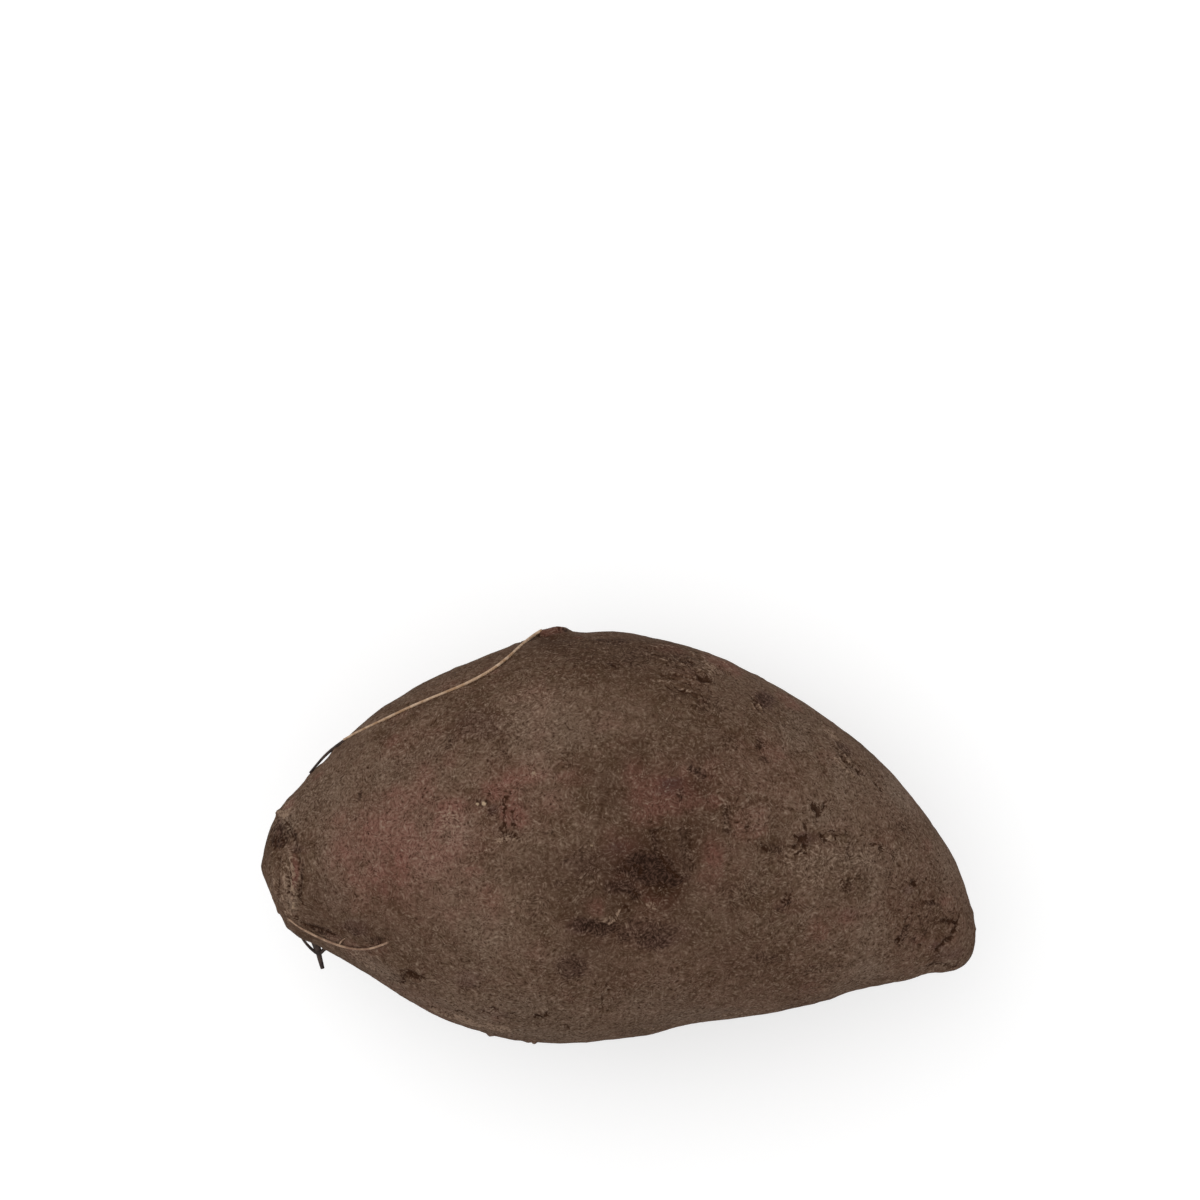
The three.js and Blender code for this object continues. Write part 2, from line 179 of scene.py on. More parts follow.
            (-11, -12, 4.4, 4, 0, 0.25), (-15, -18, 4, 2, 0, 0.25), (-34, -25, 3.6, 1.4, 0, 0.4),
            (-29, -31, 12, 4, -15, 0.25), (-20, -34, 6, 2.6, 0, 0.3), (-44, -29, 4, 2, -30, 0.4),
            (-24, -38, 12, 2.4, -8, 0.2), (36, -4, 1.2, 3.4, 0, 0.35), (43, -4, 2.4, 4.6, 0, 0.15),
            (33, -24, 1.3, 3, -20, 0.3), (51, -26, 2.4, 1.4, 0, 0.3), (62, -27, 4, 1.8, 0, 0.3),
            (24, 27, 4.6, 2.2, 0, 0.3), (-49, 1, 3.2, 2.2, 0, 0.35), (-44, -9, 2.6, 2.2, 0, 0.3),
            (-46, -21, 2.4, 1.8, 0, 0.2), (-5, -24, 2.6, 1.8, 0, 0.2), (25, -26, 8, 2.2, 0, 0.12),
            (33, 1, 7, 3.6, 20, 0.1), (-57, -16, 3, 3, 0, 0.5), (41, 9, 2.2, 2.2, 0, 0.2),
            (-37, 18, 1.6, 1.4, 0, 0.3), (-28.6, 5, 0.8, 1.4, 0, 0.5),
        ],
    },
    "cork": {
        "above": [
            (-67.2, 4.5, 1.2, 0.5, -14, 1), (-66.4, 6.6, 1.4, 0.7, 40, 0.5), (-66.8, -9, 1, 5, 6, 0.3),
            (-66.4, -15.6, 0.8, 1.6, 0, 0.6), (-30.5, -37.3, 2.4, 0.9, -24, 1),
            (-36.4, -35.8, 2, 0.5, -25, 0.7), (-24.6, -38.7, 3, 0.8, -10, 0.7),
            (42.6, 20.2, 2, 0.7, -40, 0.6), (8, 37.6, 3, 0.5, -14, 0.4), (18.8, 33.2, 1.6, 1.4, 0, 0.5),
            (6.5, -14.6, 0.9, 0.8, 0, 0.45), (-20.9, -0.8, 0.7, 0.35, 10, 0.9),
            (-19.7, -1.3, 0.6, 0.3, 45, 0.6), (-24.1, -1.2, 0.6, 0.6, 0, 0.8),
            (-22.7, -0.2, 0.5, 0.8, 0, 0.7), (40, -6, 8, 4, 0, 0.22), (50, -4, 3, 2, 0, 0.3),
            (-33.5, 2.5, 2, 3, 0, 0.35), (-18, 25, 6, 5, 0, 0.2), (-17, 11.6, 0.8, 0.8, 0, 0.5),
            (-30, 12, 1.4, 0.5, -60, 0.4), (55, -29.2, 2.4, 0.5, 6, 0.5), (-52, -25, 5, 0.8, -24, 0.35),
            (-61, 9, 4, 3, 0, 0.2), (36, -3.5, 2, 0.5, 20, 0.3),
        ],
        "below": [
            (46.6, 14.4, 6, 3, -40, 0.4), (35, 29, 7, 1.8, -32, 0.3), (19, 7.4, 5, 0.5, -14, 0.5),
            (-37, 21, 2.2, 1.8, 0, 0.3), (66.5, -13, 1.4, 1.8, 0, 0.8), (67, -21, 3.6, 6, 20, 0.35),
            (24, -36, 12, 2, 8, 0.35), (60, 3, 5, 7, 20, 0.2),
        ],
    },
    "sap": {
        "above": [
            (-27.05, 6.15, 0.46, 0.46, 0, 1), (-28.35, 6, 0.28, 0.28, 0, 1), (-0.3, 12.8, 0.24, 0.3, 0, 0.5),
            (-5.7, -2.2, 0.35, 0.3, 0, 0.5), (-67.6, 4.5, 0.7, 0.3, -14, 0.3), (-65, -14, 0.3, 0.8, -10, 0.4),
            (-65.2, -10.6, 0.35, 0.7, 0, 0.35), (-17, 12.2, 0.4, 0.3, 0, 0.4), (9.8, 11.6, 0.4, 0.3, 0, 0.4),
            (42, -0.8, 0.4, 0.4, 0, 0.4), (-20.9, -0.8, 0.4, 0.3, 0, 0.3),
        ],
        "below": [(66.6, -13.1, 0.5, 0.4, 0, 0.9), (-38.1, -8.4, 0.3, 0.3, 0, 0.4)],
    },
    "bruise": {
        "above": [
            (10.2, 10.5, 1.8, 1.2, 0, 1), (9.6, 8.8, 2.4, 1, 0, 0.5), (-0.2, -3, 1.4, 0.7, 0, 0.9),
            (4, -6, 8, 4, 0, 0.5), (0, -10.6, 2.6, 1.5, 0, 0.8), (12.6, -9, 1.4, 0.9, 0, 0.6),
            (8, -21, 2.6, 1.4, 0, 0.4), (-7.4, -18.2, 2.6, 1.6, 0, 0.7), (8, -20, 6, 2.4, 0, 0.3),
            (29, 27.4, 1.8, 2, 0, 0.7), (45, 17.6, 1.6, 0.8, -30, 0.5), (-25.4, 4.8, 0.9, 1, 0, 0.6),
            (-28, 22, 5, 3, 0, 0.3), (-68, 2, 1, 2, 0, 0.3), (-64.6, -3, 2, 1, 0, 0.3),
            (66, -24, 3, 1.6, 0, 0.4), (57.6, -11, 1.2, 1, 0, 0.5), (63.4, -22.4, 1.4, 0.8, 0, 0.6),
            (36.8, -0.9, 1.4, 1, 0, 0.6), (38.6, -1, 1, 0.8, 0, 0.4), (-8, -6, 3, 2, 0, 0.3),
            (-9.4, -26.4, 3.4, 2.4, 0, 0.3), (-53, -18.6, 3, 1.4, 0, 0.5), (46, -16, 2, 1, 0, 0.3),
            (-30, -29, 3, 1.6, 0, 0.4), (-25, -35.8, 3, 1, 0, 0.3), (-58, -12, 4, 3, 0, 0.2),
        ],
        "below": [
            (1, -4.5, 8, 4, 0, 0.3), (38, -6, 1.6, 1.6, 0, 0.8), (14, -4, 6, 3.5, 0, 0.3),
            (3, 23, 6, 4, 0, 0.3), (-9, 33, 9, 4, 0, 0.25), (12, -23, 6, 2.6, 0, 0.2),
            (47, -22, 6, 3, 0, 0.2),
        ],
    },
}
# Broad soft changes in how light the skin is: partly the skin's own lighter and darker patches, partly
# painted
# # light and painted shade, with painted shadows beside the rootlets and by the stem end. The strength is
# below 0 where
# # it's darker.
TONES_AND_PAINTED_SHADING = {
    "above": [
        (-2, 36, 22, 5, 0, -0.5), (-12, 39.6, 5, 2.6, 0, -0.6), (6, 38, 9, 2.4, -8, -0.5),
        (15, 31, 5, 3, 0, -0.35), (14, 25, 8, 7, 0, -0.15), (-12, 33, 4, 4, 0, 0.25),
        (3, -14, 14, 9, 0, -0.4), (5, -6, 9, 6, 0, -0.7), (24, -25, 14, 6, 0, -0.3), (-3, 9, 8, 9, 0, -0.35),
        (10, 8, 13, 12, 0, -0.45), (3, 18, 3, 4, 0, -0.3), (-27, 21, 6, 5, 0, -0.3), (-32, 24, 2, 4, 0, -0.2),
        (62, -17, 8, 7, 0, -0.3), (58, -21, 3, 3, 0, -0.25), (-9.5, -25, 6, 5, 0, -0.6),
        (-13, -9, 7, 7, 0, -0.5), (-8, -12, 3, 5, 0, -0.4), (14, 0, 6, 9, 0, -0.4),
        (9, -12.6, 4.6, 2.6, 0, -0.5), (12, -17, 5, 3, 0, -0.3), (-2, -15, 3, 4, 0, -0.3),
        (-3, -22, 5, 4, 0, -0.25), (-1, -28, 3.6, 2.4, 0, -0.3), (-3, -37, 2.4, 2.4, 0, -0.4),
        (26, -32, 6, 2, 0, -0.35), (20, -9.6, 3, 2, 0, -0.3), (-23, 3, 3, 4, 0, -0.35),
        (-21, 13, 3, 3, 0, -0.2), (-26, 15.4, 5, 1.6, 0, -0.15), (17, 16, 2, 3, -30, -0.3),
        (15, 10, 3.4, 2, 0, -0.35), (25, 28, 5, 4, 0, -0.3), (30, 25, 3, 3, 0, -0.2),
        (22, -2.4, 4, 2.4, 0, -0.25), (33, -1, 5, 3, 0, -0.4), (44, -11, 5, 4, 0, -0.4),
        # The last of these is painted shadow beside the curled rootlet.
        (33, -13, 4, 4, 0, -0.25), (30, 14, 8, 4, 0, -0.25), (-56, -18.6, 11, 3, -8, -0.5),
        # These three are painted shadow along the long rootlet.
        (-38, 26.4, 4, 2, 25, -0.4), (-46, 20.4, 2.4, 2, 0, -0.5), (-54, 17, 4, 2.4, 40, -0.4),
        # The first is painted shadow along the long rootlet, and the second is painted shade in the groove
        # beside the stem end.
        (-24, 34.6, 5, 2, 38, -0.3), (-62, -10, 2.4, 9, 0, -0.4), (-40, -26, 6, 3, 0, -0.2),
        (-42, -28, 3, 1.6, 0, -0.3), (-52, 0, 3, 2.4, 0, -0.2), (-44, -6, 2, 3, 0, -0.15),
        (-48, -14, 5, 5, 0, -0.15), (-43, -20, 4, 2, 0, -0.25), (-34, -10, 4, 2, 0, -0.15),
        (40, 8.4, 2, 2, 0, -0.15), (50, 4, 2.6, 3, 0, -0.15), (45, -21, 3, 2.4, 0, -0.2),
        (-32, 1.6, 3.4, 4, 0, 0.5), (-42, 0, 17, 12, 0, 0.35), (-39, -6, 3, 3, 0, 0.3),
        (-16, 22, 7, 7, 0, 0.55), (-16, 12, 3, 4, 0, 0.3), (-27, 20, 9, 2, 5, 0.25),
        (-6, 19.6, 6, 3.4, 0, 0.5), (3, 25, 5, 4, 0, 0.3), (12, 21.6, 6, 4, 0, 0.4), (-11, 7, 6, 2.6, 0, 0.4),
        (-18, 0.6, 2, 2.4, 0, 0.35), (-46, 13.4, 5, 3.4, 0, 0.4), (-38, 16, 4, 3, 0, 0.25),
        (-58, 8, 5, 4, 30, 0.35), (-65, 4, 4, 4, 0, 0.4), (-60, -3, 2, 4, 0, 0.3), (-27, -19, 5, 4, 0, 0.4),
        (-30, -13, 9, 6, 0, 0.4), (-24, -5, 2.4, 2, 0, 0.3), (-17, -17, 3, 2, 0, 0.3),
        (-15, -24.6, 2, 3.4, 0, 0.4), (9, -31, 7, 5, 0, 0.4), (-20, -34, 7, 2.6, -10, 0.4),
        (-27, -24, 7, 4, 0, 0.2), (-48, -26.4, 5, 2, -30, 0.7), (-36, -35, 6, 2, -25, 0.4),
        (-16, -40, 12, 1.4, 0, 0.6), (16, -36, 8, 1.6, 8, 0.5), (-70.6, -3, 1, 6, 0, -0.7),
        (-68.6, -0.4, 1.8, 2.8, 0, -0.35), (-62, -6, 1.6, 3, 0, 0.2), (50, 2.6, 3.6, 4.4, 0, -0.4),
        (47, 15, 3, 1.6, -40, -0.3), (-66, -12, 1.6, 4, 0, 0.4), (-67, 3, 2, 2.4, 0, 0.4),
        (-26, 0, 3, 3, 0, -0.3), (-33, 6, 5, 3, 0, -0.25), (-17, 8, 2, 5, 0, -0.25), (-6, -3, 3, 5, 0, -0.3),
        (-20, -24, 4, 3, 0, -0.3), (1, -14, 2.6, 4, 0, -0.25), (27, -27, 3, 2, 0, -0.3),
        (24, -4, 3, 2, 0, -0.3), (-48, -28, 10, 2.4, -35, 0.45), (-52, 22, 4, 2, 35, 0.35),
        (-35, 19, 3, 2, 0, 0.3), (39, 4, 2.4, 2.4, 0, 0.35), (28, 2, 4, 3, 0, 0.25), (36, 22, 4, 5, 0, 0.25),
        (66, -10, 3, 8, 0, 0.25), (61, 5, 4, 5, 0, 0.3), (48, -27, 6, 4, 0, 0.3), (14, 30, 3, 2, 0, 0.25),
        (-2, 24.6, 2.6, 2.6, 0, 0.25), (-33, -34, 8, 3, -25, 0.25), (-60, 9, 5, 2, 35, 0.2),
        (52, 5, 9, 12, 20, 0.35), (34, 19, 4, 4, 0, 0.25), (50, -7, 8, 5, 0, 0.25),
        (56, -17, 3, 7, -15, 0.25), (-22, -37, 26, 4, 0, 0.3), (44, -31, 7, 2, 8, 0.4),
        (8, -36, 12, 3, 0, 0.25), (-59, -6, 3, 5, 0, 0.25), (-65, -13, 1.4, 3, 0, 0.5),
        (28, -9, 3, 4, 0, 0.15), (29, 3, 5, 4, 0, 0.15), (-38, -19, 6, 3, 0, 0.15),
        (10, -11, 5, 3.4, 0, -0.45), (6, -5, 9, 7, 0, -0.25), (-18, -6, 8, 4, 0, -0.2),
        (0, -15, 3, 3, 0, -0.3), (23, -16, 4, 3, 0, -0.3), (20, -24, 5, 3, 0, -0.25),
        (-26, -13, 6, 3, 0, -0.2), (11, -21, 5, 3, 0, -0.25), (-15, 38, 6, 3, 0, -0.6),
        (21, 25, 4, 5, 0, -0.25), (17.4, 17, 2, 3, 0, -0.3), (2, 29, 6, 5, 0, -0.25),
        # The first of these is painted shadow along the long rootlet.
        (-38, 28, 9, 2.4, 25, -0.25), (16, 0, 3, 4, 0, -0.3), (0, 6, 2, 2, 0, -0.3),
        # The first of these is painted shadow beside the curled rootlet.
        (-63, -20, 4, 2, -20, -0.6), (36, 23, 2.4, 2.4, 0, 0.4), (35, 18, 4, 2.4, 0, 0.3),
        (44, 13, 2.4, 5, 0, 0.5), (56, 9, 3.4, 5, 35, 0.8), (43, 2.6, 3, 2.4, 0, 0.4),
        (24, 7, 3, 2.4, 0, 0.25), (42, -6, 8, 2.6, 0, 0.4), (50, -4, 3, 2.4, 0, 0.4),
        (50, -17, 3, 8, 0, 0.45), (50, -27.4, 4, 2.4, 0, 0.6), (66, -5, 3.4, 6, 25, 0.4),
        (69.6, -14, 1.6, 4, 0, 0.25), (64, -26.4, 4, 1.2, 0, 0.5), (37, -17, 2.4, 4, 0, 0.25),
        (29, -18, 3, 3, 0, 0.35), (27, -10, 2.4, 3, 0, 0.2), (34, -26, 2, 4, 0, 0.25),
        (40, -27, 4, 3, 0, 0.2), (17, -16, 2, 2, 0, 0.2), (12, 4, 3, 2, 0, 0.2), (0, -33, 6, 3, 0, 0.25),
        (-43, 27, 3, 3, 40, 0.4), (-35, 30.6, 4, 1.6, 25, 0.4), (18, 36, 4, 1.6, -20, 0.5),
        (-67, 1.4, 2.4, 2, 0, 0.3), (-64.6, -13, 2.4, 3, 0, 0.3), (-51, 21, 3, 2, 30, 0.3),
        (40, 4, 3, 3, 0, 0.3), (12.4, -4, 2, 4, 0, 0.3), (60, -12, 3.4, 5, 0, 0.25), (15, 32, 4, 4, 0, 0.25),
        (57, 7, 3, 5, 40, 0.3), (-39, 16.6, 3, 2, 0, 0.2), (-15, -24.4, 2, 2.4, 0, 0.25),
        (-9.6, -30, 3, 3, 0, 0.25), (53, -20, 3, 2.4, 0, 0.25), (19.4, -10, 3.4, 3, 0, -0.3),
        (-28, 6, 3, 2.4, 0, -0.3), (-3.6, 10, 2.4, 2.4, 0, -0.3), (-1.6, -8, 2.4, 3, 0, -0.3),
        (-6, -21, 6, 2.4, 0, -0.3), (54, -1.6, 2.6, 2.6, 0, -0.3), (16, 10, 3, 2.4, 0, -0.3),
        (-43.6, -20.6, 3, 2, 0, -0.3), (2, -29, 4, 2.4, 0, -0.25), (22, -18, 3.4, 6, 0, -0.2),
        (-27, -12.6, 3, 2.4, 0, -0.25), (18, 18, 2.4, 3, 0, -0.25), (-18, -9, 4, 3, 0, -0.15),
        (-2, -35.6, 4, 2, 0, -0.2), (-19, 4, 3, 4, 20, -0.2), (-45, -6, 3, 4, 0, -0.2),
    ],
    "below": [
        (-32, -31, 14, 7, -10, -0.7), (-20, -37, 14, 4, 0, -0.5), (-5, 32, 14, 7, 0, -0.15),
        (3, 22, 8, 5, 0, -0.3), (0, -4, 9, 5, 0, -0.3), (45, 16, 10, 5, -40, 0.3), (27, 20, 11, 9, 0, 0.5),
        (14, 33, 11, 5, 0, 0.4), (5, 7, 6, 4, 0, 0.5), (-16, -3, 6, 6, 0, 0.4), (-50, -12, 6, 5, 0, 0.3),
        (64, -8, 4, 12, 0, 0.5), (30, -30, 6, 3, 0, 0.4), (-6, -20, 3, 4, 0, 0.3), (-47, 20, 5, 3, 0, 0.25),
        (17, -11, 8, 5, 0, -0.5), (28, -8, 8, 3, 0, -0.3), (0, -28, 8, 3, 0, -0.3), (8, -33, 6, 5, 0, -0.3),
        (-15, -15, 4, 5, 0, -0.3), (-17, 12, 4, 3, 0, -0.35), (-12, 27, 8, 3, 0, -0.3),
        (-5, 22, 3, 5, 0, -0.3), (-29, 8, 4, 5, 0, -0.3), (-27, -10, 4, 4, 0, -0.2),
        (36, -17, 4, 4, 0, -0.25), (47, -15, 4, 3, 0, -0.25), (-42, -8, 2, 2, 0, -0.3),
    ],
}

# How strong the grain is: above 0 where it's coarser.
GRITS = {
    "above": [
        (-6, 24, 14, 6, 0, -0.9), (7, 25, 8, 5, 0, -0.6), (-37, -15, 11, 5, 0, -1), (-46, 6, 5, 6, 0, -0.6),
        (4, -25, 11, 4.5, 0, -0.9), (18, -20, 9, 6, 0, -0.4), (-5, 15, 6, 4, 0, -0.5),
        (-30, -24, 8, 4, 0, -0.4), (13, 6, 14, 6, 0, 1.1), (-24, 4, 6, 5, 0, 0.7), (-34, 4, 4, 5, 0, 0.3),
    ],
}

# Pits (x, y, half length, half width, turn and depth), each with a low rim, and lumps, with a height for the
# depth. The height is below 0 in a soft hollow.
PITS = {
    "above": [
        (38.8, 5.4, 0.55, 0.6, 0, 0.5), (39.5, 4.9, 0.5, 0.6, 0, 0.5), (39.5, 3.8, 0.3, 0.5, 0, 0.4),
        (40.8, 5.9, 0.5, 0.3, 45, 0.4), (37.7, 4.5, 0.3, 0.3, 0, 0.2), (35.3, -0.4, 0.35, 0.35, 0, 0.4),
        (36.3, -0.9, 0.6, 0.5, 0, 0.45), (37.2, -0.5, 0.35, 0.6, 0, 0.45), (35.3, -2.2, 0.4, 0.4, 0, 0.4),
        (37, -2, 0.4, 0.6, 0, 0.45), (37.1, 1.4, 0.3, 0.6, 0, 0.4), (40.4, -0.4, 0.35, 0.6, 10, 0.45),
        (41, -1.3, 0.5, 0.35, 0, 0.4), (45.4, 0.1, 0.35, 0.25, 0, 0.3), (49, -1.8, 0.3, 0.25, 0, 0.2),
        (25.6, 1.4, 0.5, 0.4, -40, 0.35), (27.9, -1.2, 0.4, 0.35, 0, 0.3), (25.8, -1.3, 0.35, 0.3, 0, 0.25),
        (52.2, -2.7, 0.5, 0.5, 0, 0.4), (50.5, -2, 0.6, 0.25, 0, 0.3), (55.8, -21.2, 0.6, 0.6, 0, 0.35),
        (55.9, -22.4, 0.4, 0.4, 0, 0.3), (58.6, -9.7, 0.5, 0.6, -30, 0.4), (62.6, -26.1, 1, 0.5, 20, 0.35),
        (60.1, -22.3, 0.4, 0.4, 0, 0.3), (-41.4, -28, 1.9, 0.6, -18, 0.35), (9, -1.2, 0.3, 0.25, 0, 0.25),
        (-25, -34.9, 0.7, 0.4, 0, 0.4), (-16, -36.6, 1, 0.4, -20, 0.4), (-14.8, -36, 0.6, 0.3, 30, 0.35),
        (-21.2, -35.9, 0.5, 0.3, 0, 0.3), (-32, -35.3, 0.6, 0.3, -10, 0.35), (17, 30.9, 1.2, 0.6, -10, 0.6),
        (45.4, 14.6, 1.2, 0.8, -42, 0.2), (47.8, 12.8, 1.2, 0.6, -42, 0.25),
    ],
    "below": [
        (-56.6, -14.2, 1.2, 1, 30, 1.2), (-43.4, -10.4, 1, 0.8, 0, 0.3), (-49.4, -0.6, 1.2, 0.7, 20, 0.3),
        (-51, 1.6, 0.6, 0.6, 0, 0.25), (-28.2, 5.2, 0.7, 1, 0, 0.25), (-29.3, 3.3, 0.6, 0.6, 0, 0.3),
        (-37.5, 17.7, 1.1, 0.6, 30, 0.35), (-39.6, 14.8, 0.6, 0.6, 0, 0.25), (-2.8, -23.4, 1.6, 0.6, 0, 0.25),
        (42.7, 19.5, 1.4, 0.5, -50, 0.4), (-34, -25, 1.2, 0.5, 0, 0.2), (-20, -33, 1.6, 0.6, 10, 0.25),
        (-16, -36, 1.2, 0.6, 20, 0.25), (51, -26, 1.2, 0.7, 0, 0.25), (-20, -7, 0.6, 0.6, 0, 0.2),
        (36, -4, 0.6, 1.2, 0, 0.25), (21.6, -9.8, 0.5, 0.5, 0, 0.4),
    ],
}
LUMPS = {
    "above": [
        (-13.4, 40.4, 2.6, 1.3, 0, 0.6), (-11.2, 40.4, 1.2, 1.4, 0, 0.5), (-15.6, 40.4, 0.8, 1.2, 0, 0.4),
        (-17, -41.4, 0.6, 0.8, 0, 0.7), (67, -22, 4, 3, 0, 0.5), (-71, -6.6, 1.4, 1.4, 0, 0.5),
        (41.9, -0.5, 0.7, 0.6, 0, 0.2), (-14, 8, 9, 7, 0, 0.3), (20, 12, 8, 6, 0, 0.25),
        (-68.6, -9, 1.6, 5, 4, 0.3), (70.8, -15.6, 0.8, 0.8, 0, 0.3), (70.9, -18.8, 0.8, 1, 0, 0.4),
        (-62, 12.2, 2, 2.4, 45, 0.5), (-60.4, 13.8, 0.8, 1, 45, 0.35), (-56.5, 17.2, 1, 1.2, 40, 0.4),
        (-67.6, -0.8, 1.8, 1.8, 0, -0.5), (-44.9, 11.4, 1, 0.8, 0, -0.25), (-52.4, 8.1, 0.5, 1, 0, -0.3),
        (14, -38.4, 3.4, 4, 0, -0.6), (63, -27.6, 3, 3, 0, -0.6), (-50.6, -27.4, 4, 3, -30, -0.4),
        (-66.6, -18.4, 1.6, 1.6, 0, 0.35), (22, -36.4, 3, 2, 0, -0.3),
    ],
    "below": [
        (-15, 39, 5, 1.8, -12, 0.7), (-5, 39.6, 4.5, 1.4, 5, 0.5), (23.5, 30, 3.2, 1.6, 0, 0.6),
        (28, 32, 1.4, 1, 0, 0.2), (67, -16, 2.6, 2, 0, 0.5), (64, -26, 2.4, 1.4, 0, 0.5),
        (-43, -10, 3, 2.6, 0, -0.6), (-49.4, -0.6, 2.4, 2, 0, -0.4), (-18.7, -42, 0.9, 0.8, 0, 0.5),
        (-25.7, -41, 0.9, 0.8, 0, 0.5),
    ],
}
